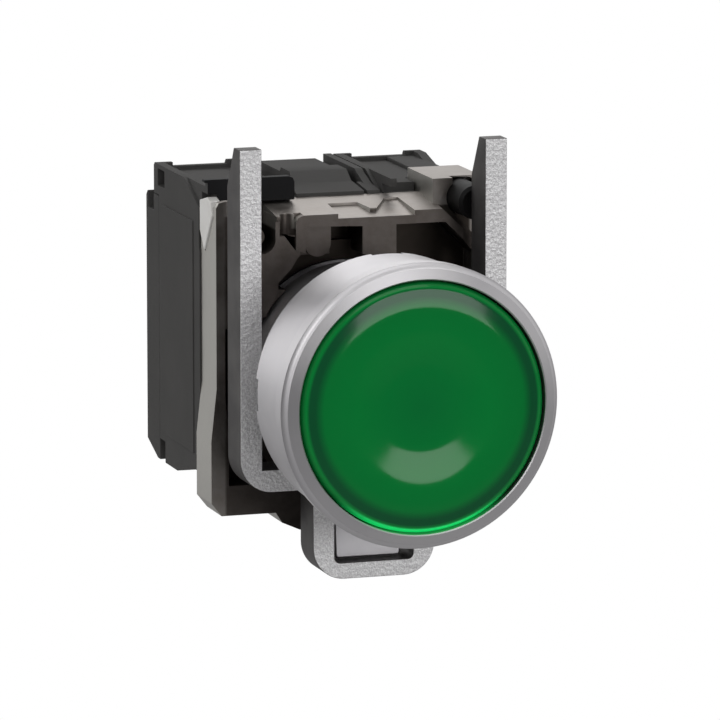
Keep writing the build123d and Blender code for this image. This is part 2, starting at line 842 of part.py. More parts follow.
# Spring that pushes the lever's hook up into the groove
lever_coil_r = 0.6
lever_coil_wire_r = 0.14
lever_coil_turns = 4.5
lever_coil_low = lever_room_bottom + lever_coil_wire_r + 0.02
lever_coil_length = lever_pivot_z - 0.1 - lever_coil_wire_r - 0.02 - lever_coil_low
lever_coil_base = (0, lever_hook_back + 0.2, lever_coil_low)
with BuildPart() as lever_spring:
    with BuildLine() as lever_coil:
        Helix(lever_coil_length / lever_coil_turns, lever_coil_length, lever_coil_r, lever_coil_base)
    with BuildSketch(Plane(origin=lever_coil.line @ 0, z_dir=lever_coil.line % 0)):
        Circle(lever_coil_wire_r)
    sweep(path=lever_coil.line, is_frenet=True)
lever_spring.part.label = "lever_spring"
export_step(lever_spring.part, "parts/lever_spring.step")

terminal_z = [terminal_mid_z + terminal_pitch / 2, terminal_mid_z - terminal_pitch / 2]
washer_front = terminal_front + terminal_thickness + seat_gap
head_front = washer_front + washer_thickness
washer_room = head_front + washer_travel + seat_gap - block_split
block_x = {"no": -block_pitch, "lamp": 0.0, "nc": block_pitch}

for kind, x0 in block_x.items():
    # Housing: moulded box, open to the rear, with a tray on top and a hook over the collar's shelf
    left = x0 - block_w / 2
    right = x0 + block_w / 2
    with BuildPart() as housing:
        with BuildSketch(side_plane(left)):
            with BuildLine():
                Polyline(
                    (block_front, block_floor_front),
                    (block_front + 2.0, block_floor_front - 0.2),
                    (block_front + 8.8, block_floor),
                    (block_split, block_floor),
                    (block_split, block_ledge_top + 0.1),
                    (block_post_back, block_ledge_top + 0.1),
                    (block_post_back, block_top - 0.3),
                    (block_post_back - 0.3, block_top),
                    (block_hook_front, block_top),
                    (block_hook_front, block_hook_bottom),
                    (block_front, block_hook_bottom),
                    close=True,
                )
            make_face()
        extrude(amount=block_w)
        # Room inside for the switching parts or the lamp
        with BuildSketch(front_plane(block_split)):
            with Locations((x0, (cavity_top + cavity_bottom) / 2)):
                Rectangle(2 * cavity_half_w, cavity_top - cavity_bottom)
        extrude(amount=block_split - cavity_front, mode=Mode.SUBTRACT)
        if kind == "lamp":
            # The lamp block's top: a ramp up to a cross bar, lower behind the bar
            with BuildSketch(side_plane(left - 1)):
                with BuildLine():
                    Polyline(
                        (block_hook_front - 1, block_top + 2),
                        (block_hook_front - 1, block_hook_bottom - 0.1),
                        (block_front, block_hook_bottom - 0.1),
                        (block_front + 0.1, block_hook_bottom + 0.25),
                        (ramp_crease_y, ramp_crease_z),
                        (bar_front, block_top),
                        (bar_back, block_top),
                        (bar_back + 0.5, block_rear_wall_top),
                        (block_post_back + 1, block_rear_wall_top),
                        (block_post_back + 1, block_top + 2),
                        close=True,
                    )
                make_face()
            extrude(amount=block_w + 2, mode=Mode.SUBTRACT)
            # Sloping left edge of the ramp, black notch and slit on its right
            with BuildSketch(Plane.XY.offset(block_top + 1)):
                with BuildLine():
                    Polyline(
                        (left - 1, block_front - 1),
                        (left + 0.4, block_front - 1),
                        (-ramp_half_w, bar_front),
                        (-ramp_half_w, block_post_back + 1),
                        (left - 1, block_post_back + 1),
                        close=True,
                    )
                make_face()
            extrude(amount=-(block_top + 1 - block_hook_bottom + 0.1), mode=Mode.SUBTRACT)
            with BuildSketch(Plane.XY.offset(block_top + 1)):
                with Locations((ramp_half_w + 0.2, (block_front + ramp_crease_y) / 2 - 0.5)):
                    Rectangle(0.35, ramp_crease_y - block_front + 1)
                with BuildLine():
                    Polyline(
                        (ramp_half_w, ramp_crease_y - 0.6),
                        (right - 0.85, ramp_crease_y - 0.6),
                        (right - 0.85, block_post_back + 1),
                        (ramp_half_w, block_post_back + 1),
                        close=True,
                    )
                make_face()
            extrude(amount=-(block_top + 1 - block_hook_bottom + 1.2), mode=Mode.SUBTRACT)
            # Thin right wall that rises to the rear
            with BuildSketch(side_plane(right - 0.85)):
                with BuildLine():
                    Polyline(
                        (ramp_crease_y - 3.0, block_hook_bottom - 1),
                        (ramp_crease_y - 3.0, block_hook_bottom + 0.1),
                        (bar_front + 0.4, block_top),
                        (block_post_back, block_top),
                        (block_post_back, block_hook_bottom - 1),
                        close=True,
                    )
                make_face()
            extrude(amount=0.85)
            with BuildSketch(front_plane(cavity_front)):
                with Locations((x0, 0)):
                    Circle(lamp_r + seat_gap)
            extrude(amount=cavity_front - block_front, mode=Mode.SUBTRACT)
        else:
            # Tray between the side walls, open to the front, with a low rear wall and two corner posts
            tray_front = block_hook_front - 1 if kind == "nc" else block_hook_front + block_wall
            with BuildSketch(Plane.XY.offset(block_top)):
                with Locations((x0, (tray_front + block_post_back - 0.9) / 2)):
                    Rectangle(block_w - 2 * block_wall, block_post_back - 0.9 - tray_front)
            extrude(amount=-(block_top - tray_floor), mode=Mode.SUBTRACT)
            with BuildSketch(Plane.XY.offset(block_top)):
                with Locations((x0, block_post_back)):
                    Rectangle(block_w - 2 * post_w, 2.4)
            extrude(amount=-(block_top - block_rear_wall_top), mode=Mode.SUBTRACT)
            # The right wall is lower than the left one and rises to its post
            with BuildSketch(side_plane(right + 1)):
                with BuildLine():
                    Polyline(
                        (tray_front, block_top + 1),
                        (tray_front, block_top - 0.9),
                        (27.1, block_top - 0.9),
                        (31.0, block_top),
                        (31.0, block_top + 1),
                        close=True,
                    )
                make_face()
            extrude(amount=-1 - block_wall, mode=Mode.SUBTRACT)
            # Guide hole for the plunger
            stem_x = math.copysign(plunger_x, x0)
            with BuildSketch(front_plane(cavity_front)):
                with Locations((stem_x, plunger_z)):
                    Circle(plunger_r + run_gap)
            extrude(amount=cavity_front - block_front, mode=Mode.SUBTRACT)
        if kind == "no":
            # Tab at the front that stands above the shelf
            with BuildSketch(front_plane(block_hook_front)):
                with BuildLine():
                    Polyline(
                        (left, block_hook_bottom + 0.5),
                        (left, block_tab_top),
                        (right - 0.6, block_tab_top),
                        (right - 0.18, block_tab_top - 0.18),
                        (right, block_tab_top - 0.6),
                        (right, block_hook_bottom + 0.5),
                        close=True,
                    )
                make_face()
            extrude(amount=-block_wall)
        if kind == "nc":
            # Undercut below the left wall's front end
            with BuildSketch(side_plane(left - 1)):
                with BuildLine():
                    Polyline(
                        (block_hook_front - 1, block_hook_bottom - 0.1),
                        (block_front + 1.0, block_hook_bottom - 0.1),
                        (block_front + 1.0, block_hook_bottom + 0.8),
                        (block_hook_front - 1, block_hook_bottom + 0.8),
                        close=True,
                    )
                make_face()
            extrude(amount=block_w + 2, mode=Mode.SUBTRACT)
        # Shallow facet on the left side below the wall's top, and snap slots
        with BuildSketch(side_plane(left)):
            with BuildLine():
                Polyline(
                    (23.0, block_top + 0.5),
                    (block_hook_front - 1, block_top + 0.5),
                    (block_hook_front - 1, 16.0),
                    (15.9, 16.6),
                    close=True,
                )
            make_face()
        extrude(amount=0.35, mode=Mode.SUBTRACT)
        with BuildSketch(side_plane(left)):
            with Locations((block_split - 0.9, block_top - 1.4)):
                Rectangle(2.6, 1.8)
            with Locations((block_split - 0.8, block_floor + 1.0)):
                Rectangle(2.4, 2.6)
        extrude(amount=0.8, mode=Mode.SUBTRACT)
        if kind == "no":
            # Room for the white latch in the front edge
            with BuildSketch(side_plane(left)):
                with Locations(((block_hook_front + latch_back) / 2, (latch_top + latch_tip) / 2)):
                    Rectangle(latch_back - block_hook_front + 0.6, latch_top - latch_tip + 2 * slide_gap)
            extrude(amount=latch_w + slide_gap, mode=Mode.SUBTRACT)
        if kind == "nc":
            # Corner cut away round the collar's lug, and the screwdriver's way through to the clamp screw
            with BuildSketch(front_plane(lug_back + 0.2)):
                with BuildLine():
                    Polyline(
                        (lug_x - 0.2, block_top + 1),
                        (right + 1, block_top + 1),
                        (right + 1, diagonal_end_z - 1.5),
                        (lug_x - 0.2, shelf_bottom - 0.1),
                        close=True,
                    )
                make_face()
            extrude(amount=lug_back, mode=Mode.SUBTRACT)
            with BuildSketch(front_plane(block_back)):
                with Locations((clamp_screw_x, clamp_screw_z)):
                    Circle(driver_hole_r)
            extrude(amount=block_back - lug_back, mode=Mode.SUBTRACT)
            with BuildSketch(front_plane(yoke_back + clamp_screw_length + 3.3)):
                with Locations((clamp_screw_x, clamp_screw_z)):
                    Circle(clamp_screw_r + slide_gap)
            extrude(amount=yoke_back + clamp_screw_length + 3.3 - lug_back, mode=Mode.SUBTRACT)
    housing.part.label = f"housing_{kind}"
    export_step(housing.part, f"parts/housing_{kind}.step")

    # Rear cover with the screw wells and wire entries
    with BuildPart() as cover:
        with BuildSketch(side_plane(left)):
            with BuildLine():
                Polyline(
                    (block_split, block_floor),
                    (block_split + 0.9, block_floor),
                    (block_back, block_floor_back),
                    (block_back, block_ledge_top - 0.5),
                    (block_back - 0.5, block_ledge_top),
                    (block_split, block_ledge_top),
                    close=True,
                )
            make_face()
        extrude(amount=block_w)
        # For each terminal: square room for the washer, round well for the screw and the wire's way in
        for z0 in terminal_z:
            outward = 1 if z0 > terminal_mid_z else -1
            with BuildSketch(front_plane(block_split)):
                with Locations((x0, z0)):
                    Rectangle(washer_w + 2 * slide_gap, washer_w + 2 * slide_gap)
            extrude(amount=-washer_room, mode=Mode.SUBTRACT)
            with BuildSketch(front_plane(block_split)):
                with Locations((x0, z0)):
                    Circle(screw_head_r + slide_gap)
                with Locations((x0, z0 + outward * (washer_w / 2 + 0.9))):
                    Rectangle(wire_w, 2.4)
            extrude(amount=-(block_back - block_split), mode=Mode.SUBTRACT)
        # Snap slots on the left side
        with BuildSketch(side_plane(left)):
            with Locations((block_split + 3.1, block_ledge_top - 0.9)):
                Rectangle(2.2, 1.8)
        extrude(amount=0.7, mode=Mode.SUBTRACT)
        # Shallow panel between the two terminals
        with BuildSketch(front_plane(block_back)):
            with Locations((x0, terminal_mid_z)):
                Rectangle(block_w - 3.0, terminal_pitch - washer_w - 3.2)
        extrude(amount=0.4, mode=Mode.SUBTRACT)
    cover.part.label = f"cover_{kind}"
    export_step(cover.part, f"parts/cover_{kind}.step")

    # White retaining latch
    if kind == "no":
        with BuildPart() as latch:
            with BuildSketch(side_plane(left)):
                with BuildLine():
                    Polyline(
                        (latch_back, latch_top - 0.6),
                        (latch_front + 1.8, latch_top),
                        (latch_front + 0.5, latch_top - 0.3),
                        (latch_front, latch_top - 1.7),
                        (latch_front + 2.85, latch_tip),
                        (latch_back, latch_tip + 1.9),
                        close=True,
                    )
                make_face()
            extrude(amount=latch_w)
        latch.part.label = "latch_no"
        export_step(latch.part, "parts/latch_no.step")

    for place, z0 in zip(("top", "bottom"), terminal_z):
        out = 1 if place == "top" else -1
        # Terminal strip, from the screw to the fixed contact or the lamp's board
        if kind == "no":
            arm_y, arm_in, arm_out = bridge_slot_back + no_travel + rivet_h, 2.9, 4.9
            rivet_y, rivet_dir = arm_y, 1
        elif kind == "nc":
            arm_y, arm_in, arm_out = bridge_slot_front + nc_travel - rivet_h - terminal_thickness, 2.9, 5.9
            rivet_y, rivet_dir = arm_y + terminal_thickness, -1
        else:
            arm_y, arm_in, arm_out = board_front + board_thickness, 4.1, 4.9
            rivet_y, rivet_dir = arm_y, 0
        leg = terminal_thickness
        strip_back = terminal_front + terminal_thickness
        outer = cavity_top - terminal_mid_z - seat_gap
        points = [
            (arm_y, arm_in),
            (arm_y, arm_out),
            (terminal_front, arm_out),
            (terminal_front, outer),
            (strip_back, outer),
            (strip_back, arm_out - leg),
            (arm_y + leg, arm_out - leg),
            (arm_y + leg, arm_in),
        ]
        if kind == "lamp":
            points = [
                (arm_y, arm_out - leg),
                (arm_y, arm_out),
                (terminal_front, arm_out),
                (terminal_front, outer),
                (strip_back, outer),
                (strip_back, arm_out - leg),
            ]
        with BuildPart() as terminal:
            with BuildSketch(side_plane(x0 - strip_w / 2)):
                with BuildLine():
                    Polyline(*[(y, terminal_mid_z + out * z) for y, z in points], close=True)
                make_face()
            extrude(amount=strip_w)
            with BuildSketch(front_plane(strip_back)):
                with Locations((x0, z0)):
                    Circle(screw_shaft_r + run_gap)
            extrude(amount=terminal_thickness, mode=Mode.SUBTRACT)
            if rivet_dir:
                with BuildSketch(front_plane(rivet_y)):
                    with Locations((x0, terminal_mid_z + out * (arm_in + rivet_r))):
                        Circle(rivet_r)
                extrude(amount=rivet_dir * rivet_h)
        terminal.part.label = f"terminal_{kind}_{place}"
        export_step(terminal.part, f"parts/terminal_{kind}_{place}.step")

        # Square clamp washer
        with BuildPart() as washer:
            with BuildSketch(front_plane(head_front)):
                with Locations((x0, z0)):
                    Rectangle(washer_w, washer_w)
                    Circle(screw_shaft_r + run_gap, mode=Mode.SUBTRACT)
            extrude(amount=washer_thickness)
        washer.part.label = f"clamp_washer_{kind}_{place}"
        export_step(washer.part, f"parts/clamp_washer_{kind}_{place}.step")

        # Terminal screw with a cross and slot recess
        with BuildPart() as screw:
            with BuildSketch(front_plane(head_front)):
                with Locations((x0, z0)):
                    Circle(screw_head_r)
            extrude(amount=-screw_head_h)
            chamfer(screw.edges().filter_by(GeomType.CIRCLE).sort_by(Axis.Y)[-1], 0.4)
            with BuildSketch(front_plane(head_front)):
                with Locations((x0, z0)):
                    Circle(screw_shaft_r)
            extrude(amount=screw_shaft_length)
            with BuildSketch(front_plane(head_front + screw_head_h)):
                with Locations((x0, z0)):
                    Rectangle(0.8, 2 * screw_head_r)
                    Rectangle(3.2, 0.8)
            extrude(amount=1.0, mode=Mode.SUBTRACT)
        screw.part.label = f"terminal_screw_{kind}_{place}"
        export_step(screw.part, f"parts/terminal_screw_{kind}_{place}.step")

    if kind == "lamp":
        continue

    # Plunger with its carriage
    with BuildPart() as plunger:
        with BuildSketch(front_plane(carriage_front)):
            with Locations((x0, terminal_mid_z)):
                Rectangle(2 * carriage_half_w, 2 * carriage_half_h)
        extrude(amount=-(carriage_back - carriage_front))
        with BuildSketch(Plane.XY.offset(terminal_mid_z + carriage_half_h)):
            with Locations((x0, (bridge_slot_front + bridge_slot_back) / 2)):
                Rectangle(bridge_w + 0.4, bridge_slot_back - bridge_slot_front)
        extrude(amount=-2 * carriage_half_h, mode=Mode.SUBTRACT)
        with BuildSketch(front_plane(plunger_tip)):
            with Locations((stem_x, plunger_z)):
                Circle(plunger_r)
        extrude(amount=-(carriage_front - plunger_tip))
        with BuildSketch(front_plane(carriage_back)):
            with Locations((x0, terminal_mid_z)):
                Circle(1.6)
        extrude(amount=0.6, mode=Mode.SUBTRACT)
    plunger.part.label = f"plunger_{kind}"
    export_step(plunger.part, f"parts/plunger_{kind}.step")

    # Moving bridge with two silver contacts
    if kind == "no":
        bridge_front = bridge_slot_back - bridge_thickness - seat_gap
        contact_side = 1
    else:
        bridge_front = bridge_slot_front + nc_travel + seat_gap
        contact_side = -1
    with BuildPart() as bridge:
        with BuildSketch(front_plane(bridge_front)):
            with Locations((x0, terminal_mid_z)):
                SlotOverall(2 * bridge_half_l, bridge_w, rotation=90)
        extrude(amount=-bridge_thickness)
    bridge.part.label = f"bridge_{kind}"
    export_step(bridge.part, f"parts/bridge_{kind}.step")

    # Contact spring in the carriage's slot and return spring behind the carriage
    if kind == "no":
        coil_ends = (bridge_slot_front + 0.02, bridge_front - 0.02)
    else:
        coil_ends = (bridge_front + bridge_thickness + 0.02, bridge_slot_back - 0.02)
    coils = {
        f"contact_spring_{kind}": (coil_ends[0], coil_ends[1], 0.85, 0.18, 3.5),
        f"plunger_spring_{kind}": (carriage_back - 0.58, block_split - 0.02, 1.2, 0.18, 4.5),
    }
    for coil_name, (y0, y1, mean_r, wire_r, turns) in coils.items():
        low = y0 + wire_r
        height = y1 - y0 - 2 * wire_r
        with BuildPart() as coil:
            with BuildLine() as coil_path:
                Helix(height / turns, height, mean_r, (x0, low, terminal_mid_z), (0, 1, 0))
            with BuildSketch(Plane(origin=coil_path.line @ 0, z_dir=coil_path.line % 0)):
                Circle(wire_r)
            sweep(path=coil_path.line, is_frenet=True)
        coil.part.label = coil_name
        export_step(coil.part, f"parts/{coil_name}.step")

# Lamp: moulded holder on the circuit board, with the clear light body in front
with BuildPart() as lamp_holder:
    with BuildSketch(front_plane(lamp_front)):
        Circle(lamp_r)
    extrude(amount=-(board_front - lamp_front))
    with BuildSketch(front_plane(lamp_front)):
        Circle(led_r + seat_gap)
    extrude(amount=-1.5, mode=Mode.SUBTRACT)
lamp_holder.part.label = "lamp_holder"
export_step(lamp_holder.part, "parts/lamp_holder.step")

with BuildPart() as led_lens:
    with BuildSketch(Plane.XY):
        with BuildLine():
            Polyline(
                (0, led_front),
                (0, lamp_front + 1.45),
                (led_r, lamp_front + 1.45),
                (led_r, led_front + led_r),
            )
            RadiusArc((led_r, led_front + led_r), (0, led_front), led_r)
        make_face()
    revolve(axis=Axis.Y)
led_lens.part.label = "led_lens"
export_step(led_lens.part, "parts/led_lens.step")

with BuildPart() as lamp_board:
    with BuildSketch(front_plane(board_front)):
        with Locations((0, terminal_mid_z)):
            Rectangle(2 * cavity_half_w - 2 * seat_gap, 10.4)
    extrude(amount=-board_thickness)
lamp_board.part.label = "lamp_board"
export_step(lamp_board.part, "parts/lamp_board.step")
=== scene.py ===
# %% [markdown]
# # Illuminated push button
# The button has a chromed bezel, a green lens, a clamp yoke that holds it in a panel, a die-cast
# collar and three plastic blocks with contacts and a lamp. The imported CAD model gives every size.
# This file adds finishes, rounded edges and fine detail to it, a studio and a camera.

import math

import bmesh
import bpy
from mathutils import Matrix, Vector


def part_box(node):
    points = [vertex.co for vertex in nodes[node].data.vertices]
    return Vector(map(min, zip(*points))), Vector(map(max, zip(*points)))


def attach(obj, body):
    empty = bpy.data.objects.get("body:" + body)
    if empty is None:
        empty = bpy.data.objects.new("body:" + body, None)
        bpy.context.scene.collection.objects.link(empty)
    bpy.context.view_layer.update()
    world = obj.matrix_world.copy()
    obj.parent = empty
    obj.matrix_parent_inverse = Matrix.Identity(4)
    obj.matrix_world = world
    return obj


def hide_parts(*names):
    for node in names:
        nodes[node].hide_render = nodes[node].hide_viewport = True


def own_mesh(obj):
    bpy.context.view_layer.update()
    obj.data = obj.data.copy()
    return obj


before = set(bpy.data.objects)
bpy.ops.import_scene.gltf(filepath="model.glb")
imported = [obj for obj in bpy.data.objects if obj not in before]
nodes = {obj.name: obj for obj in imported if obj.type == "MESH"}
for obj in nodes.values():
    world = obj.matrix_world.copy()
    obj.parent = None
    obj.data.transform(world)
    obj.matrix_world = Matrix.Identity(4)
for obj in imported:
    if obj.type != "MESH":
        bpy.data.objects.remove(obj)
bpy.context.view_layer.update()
MM = 0.001
print("nodes:", len(nodes), "triangles:", sum(len(n.data.polygons) for n in nodes.values()))

# %% [markdown]
# ## Camera
# The photograph was taken from well away with a long lens, a little from the button's left and a
# little from above. A shorter lens close by would fill the picture as well, but would make the
# blocks behind look smaller. The camera aims near the object's middle, so that all of it sits in the
# frame with no shift.

# %% Aim a camera or a lamp
TARGET = Vector((1.35, 12.0, 0.5)) * MM


def aim_from(thing, azimuth, elevation, distance):
    """Places a camera or lamp in a direction from the target, in degrees, and turns it there."""
    a, e = math.radians(azimuth), math.radians(elevation)
    away = Vector((math.sin(a) * math.cos(e), -math.cos(a) * math.cos(e), math.sin(e)))
    thing.location = TARGET + away * distance
    thing.rotation_mode = "QUATERNION"
    thing.rotation_quaternion = (-away).to_track_quat("-Z", "Y")
    bpy.context.scene.collection.objects.link(thing)


# %% Camera
FROM_LEFT, FROM_ABOVE = -17.8, 10.3
DISTANCE = 676 * MM
LENS_MM, SENSOR_MM = 322.5, 36.0

camera_data = bpy.data.cameras.new("photo_camera")
camera_data.lens = LENS_MM
camera_data.sensor_width = SENSOR_MM
camera_data.clip_start = 0.01
camera_data.clip_end = 20.0
camera = bpy.data.objects.new("photo_camera", camera_data)
aim_from(camera, FROM_LEFT, FROM_ABOVE, DISTANCE)
bpy.context.scene.camera = camera
print("camera at", [round(c, 3) for c in camera.location])

# %% [markdown]
# ## Colours and nodes
# Colours are written as the eye knows them, as sRGB hex values, and Blender computes in linear
# light. One function converts them, and the Standard view shows a plainly lit colour about as it is
# written. Another function adds a shader node with its settings and links, so that each material
# below reads as a list of steps.


# %% Helpers for colours and nodes
def linear(hex_colour):
    """sRGB hex to the linear colour that Blender's sockets take."""
    values = [int(hex_colour[i : i + 2], 16) / 255 for i in (1, 3, 5)]
    return tuple(v / 12.92 if v <= 0.04045 else ((v + 0.055) / 1.055) ** 2.4 for v in values) + (1.0,)


def add_node(tree, kind, values=None, links=None, **settings):
    """Adds one node, sets its properties and sockets, and links sockets to outputs."""
    node = tree.nodes.new(kind)
    for name, value in settings.items():
        setattr(node, name, value)
    for socket, value in (values or {}).items():
        node.inputs[socket].default_value = value
    for socket, source in (links or {}).items():
        tree.links.new(source, node.inputs[socket])
    return node


def empty_material(name):
    """A new material and its node tree, with no nodes in it yet."""
    material = bpy.data.materials.new(name)
    material.use_nodes = True
    material.node_tree.nodes.clear()
    return material, material.node_tree


bpy.context.scene.view_settings.view_transform = "Standard"
print("mid grey is", round(linear("#808080")[0], 3), "in linear light")

# %% [markdown]
# ## Studio
# The photograph has a white background and soft light from above. The room in front of the object,
# where the camera stands, is darker, and the metal shows it: fronts are darker than tops. It could be
# rebuilt with walls and flags, but a world shader does the same with less noise. The world is white
# wherever the camera looks. Reflections and views through clear plastic show the same white at the
# back and the sides, and a darker room in front. As a source of light the world is a soft grey. The
# Light Path node tells these kinds of ray apart.

# %% World: what mirrors and clear plastic see
ROOM_IN_FRONT = 0.12
FRONT_Y, SIDE_Y = -0.85, -0.10

world = bpy.data.worlds.new("studio")
bpy.context.scene.world = world
world.use_nodes = True
tree = world.node_tree
tree.nodes.clear()
direction = add_node(tree, "ShaderNodeTexCoord")
parts = add_node(tree, "ShaderNodeSeparateXYZ", links={0: direction.outputs["Generated"]})
mirrored = add_node(
    tree,
    "ShaderNodeMapRange",
    interpolation_type="SMOOTHSTEP",
    values={"From Min": FRONT_Y, "From Max": SIDE_Y, "To Min": ROOM_IN_FRONT, "To Max": 1.0},
    links={"Value": parts.outputs["Y"]},
)
print("room in front:", ROOM_IN_FRONT)

# %% World: how much it lights, from below and from above
AMBIENT_LOW, AMBIENT_HIGH = 0.52, 0.22
LOW_Z, HIGH_Z = -0.2, 0.9

ambient = add_node(
    tree,
    "ShaderNodeMapRange",
    values={"From Min": LOW_Z, "From Max": HIGH_Z, "To Min": AMBIENT_LOW, "To Max": AMBIENT_HIGH},
    links={"Value": parts.outputs["Z"]},
)
print("ambient light:", AMBIENT_LOW, "to", AMBIENT_HIGH)

# %% World: one level for each kind of ray
path = add_node(tree, "ShaderNodeLightPath")
through = add_node(
    tree,
    "ShaderNodeMath",
    operation="MAXIMUM",
    links={0: path.outputs["Is Glossy Ray"], 1: path.outputs["Is Transmission Ray"]},
)
unseen = add_node(
    tree,
    "ShaderNodeMix",
    data_type="FLOAT",
    links={0: through.outputs[0], 2: ambient.outputs[0], 3: mirrored.outputs[0]},
)
level = add_node(
    tree,
    "ShaderNodeMix",
    data_type="FLOAT",
    values={3: 1.0},
    links={0: path.outputs["Is Camera Ray"], 2: unseen.outputs[0]},
)
light = add_node(tree, "ShaderNodeBackground", links={"Strength": level.outputs[0]})
add_node(tree, "ShaderNodeOutputWorld", links={"Surface": light.outputs[0]})
print("world:", len(tree.nodes), "nodes")

# %% [markdown]
# ## Lamps
# Soft boxes, as a photographer would set them: one high in front, which gives the bezel its bright
# upper arc, one high behind, which lights the tops of the castings, two at the left for the sides,
# and one at the right in front, in the direction that the lens mirrors to the camera. The last one
# makes the two pale arcs on the lens. Point lamps would leave hard spots on the chrome instead.


# %% Soft box
def soft_box(name, azimuth, elevation, distance, width, height, power):
    """A rectangular area lamp that looks at the object. Metres and watts."""
    data = bpy.data.lights.new(name, "AREA")
    data.shape = "RECTANGLE"
    data.size = width
    data.size_y = height
    data.energy = power
    aim_from(bpy.data.objects.new(name, data), azimuth, elevation, distance)


# %% Lamps
# Name, azimuth, elevation, distance, width, height, power
LAMPS = (
    ("lamp_high", 0, 50, 0.70, 0.50, 0.40, 0.95),
    ("lamp_behind", 165, 42, 0.70, 0.50, 0.40, 0.85),
    ("lamp_left", -75, 35, 0.80, 0.40, 0.40, 0.95),
    ("lamp_left_behind", -140, 15, 0.70, 0.40, 0.50, 0.4),
    ("lamp_lens", 17, 6.4, 1.00, 0.38, 0.26, 1.45),
)
for lamp in LAMPS:
    soft_box(*lamp)
print("lamps:", len(bpy.data.lights))

# %% [markdown]
# ## Floor
# The floor is a plain pale sheet well below the object, so that no shadow reaches the picture. It
# could be left out, but the undersides would then get no light back from it. It is white to the
# camera, and other light falls on it as on paper. Seen in the metal it is about half as bright, as
# paper that lies in the object's own shade, and as dark as the room where it is in front.

# %% Floor's sheet
FLOOR_Z = -75 * MM
FLOOR_HALF = 3.0

bm = bmesh.new()
bmesh.ops.create_grid(bm, x_segments=1, y_segments=1, size=FLOOR_HALF)
bmesh.ops.translate(bm, verts=bm.verts, vec=(0, 0, FLOOR_Z))
floor_mesh = bpy.data.meshes.new("floor")
bm.to_mesh(floor_mesh)
bm.free()
floor = bpy.data.objects.new("floor", floor_mesh)
bpy.context.scene.collection.objects.link(floor)
print("floor at", FLOOR_Z)

# %% Floor's paper: how bright each kind of ray finds it
FLOOR_GLARE = 0.45
DARK_FROM_Y, BRIGHT_FROM_Y = -0.30, 0.05

white_paper, tree = empty_material("white_paper")
path = add_node(tree, "ShaderNodeLightPath")
seen = add_node(
    tree,
    "ShaderNodeMath",
    operation="MAXIMUM",
    links={0: path.outputs["Is Camera Ray"], 1: path.outputs["Is Transmission Ray"]},
)
seen_or_mirrored = add_node(
    tree,
    "ShaderNodeMath",
    operation="MAXIMUM",
    links={0: seen.outputs[0], 1: path.outputs["Is Glossy Ray"]},
)
place = add_node(tree, "ShaderNodeTexCoord")
axes = add_node(tree, "ShaderNodeSeparateXYZ", links={0: place.outputs["Object"]})
shade = add_node(
    tree,
    "ShaderNodeMapRange",
    values={
        "From Min": DARK_FROM_Y,
        "From Max": BRIGHT_FROM_Y,
        "To Min": ROOM_IN_FRONT,
        "To Max": FLOOR_GLARE,
    },
    links={"Value": axes.outputs["Y"]},
)
glare = add_node(
    tree,
    "ShaderNodeMix",
    data_type="FLOAT",
    values={3: 1.0},
    links={0: seen.outputs[0], 2: shade.outputs[0]},
)
print("floor's glare in metal:", FLOOR_GLARE)

# %% Floor's paper: shader
paper = add_node(tree, "ShaderNodeBsdfDiffuse", values={"Color": linear("#e9e9e9")})
white = add_node(tree, "ShaderNodeEmission", links={"Strength": glare.outputs[0]})
both = add_node(
    tree,
    "ShaderNodeMixShader",
    links={0: seen_or_mirrored.outputs[0], 1: paper.outputs[0], 2: white.outputs[0]},
)
add_node(tree, "ShaderNodeOutputMaterial", links={"Surface": both.outputs[0]})
floor_mesh.materials.append(white_paper)
print("paper:", len(tree.nodes), "nodes")

# %% [markdown]
# ## Finishes
# Most surfaces here differ in four ways only: their colour and how it drifts over the part, how
# rough they are, how fine their grain is and how deep. Each could have a tree of its own, but one
# function builds them all from real millimetres. Values that are the same all over the surface go
# straight on the shader's sockets.

# %% A general finish
DRIFT_STOPS = (0.34, 0.66)
# Nearly all of a noise texture's values lie between these two
NOISE_LOW, NOISE_HIGH = 0.3, 0.7


def make_finish(name, light, dark, patch_mm, rough, grain_mm, grain_depth_mm, **constants):
    """A procedural material. light and dark: the colours between which it drifts over patch_mm.
    rough: lowest and highest roughness. grain_mm and grain_depth_mm: the bumps' size and height."""
    material, tree = empty_material(name)
    place = add_node(tree, "ShaderNodeTexCoord")
    patches = add_node(
        tree,
        "ShaderNodeTexNoise",
        values={"Scale": 1 / (patch_mm * MM), "Detail": 3.0},
        links={"Vector": place.outputs["Object"]},
    )
    colour = add_node(tree, "ShaderNodeValToRGB", links={"Fac": patches.outputs["Fac"]})
    for stop, position, hex_colour in zip(colour.color_ramp.elements, DRIFT_STOPS, (dark, light)):
        stop.position = position
        stop.color = linear(hex_colour)
    sheen = add_node(
        tree,
        "ShaderNodeMapRange",
        values={
            "From Min": NOISE_LOW,
            "From Max": NOISE_HIGH,
            "To Min": rough[0],
            "To Max": rough[1],
        },
        links={"Value": patches.outputs["Fac"]},
    )
    grain = add_node(
        tree,
        "ShaderNodeTexNoise",
        values={"Scale": 1 / (grain_mm * MM), "Detail": 2.0},
        links={"Vector": place.outputs["Object"]},
    )
    bump = add_node(
        tree,
        "ShaderNodeBump",
        values={"Strength": 1.0, "Distance": grain_depth_mm * MM},
        links={"Height": grain.outputs["Fac"]},
    )
    shader = add_node(
        tree,
        "ShaderNodeBsdfPrincipled",
        values=constants,
        links={
            "Base Color": colour.outputs["Color"],
            "Roughness": sheen.outputs["Result"],
            "Normal": bump.outputs["Normal"],
        },
    )
    add_node(tree, "ShaderNodeOutputMaterial", links={"Surface": shader.outputs[0]})
    return material


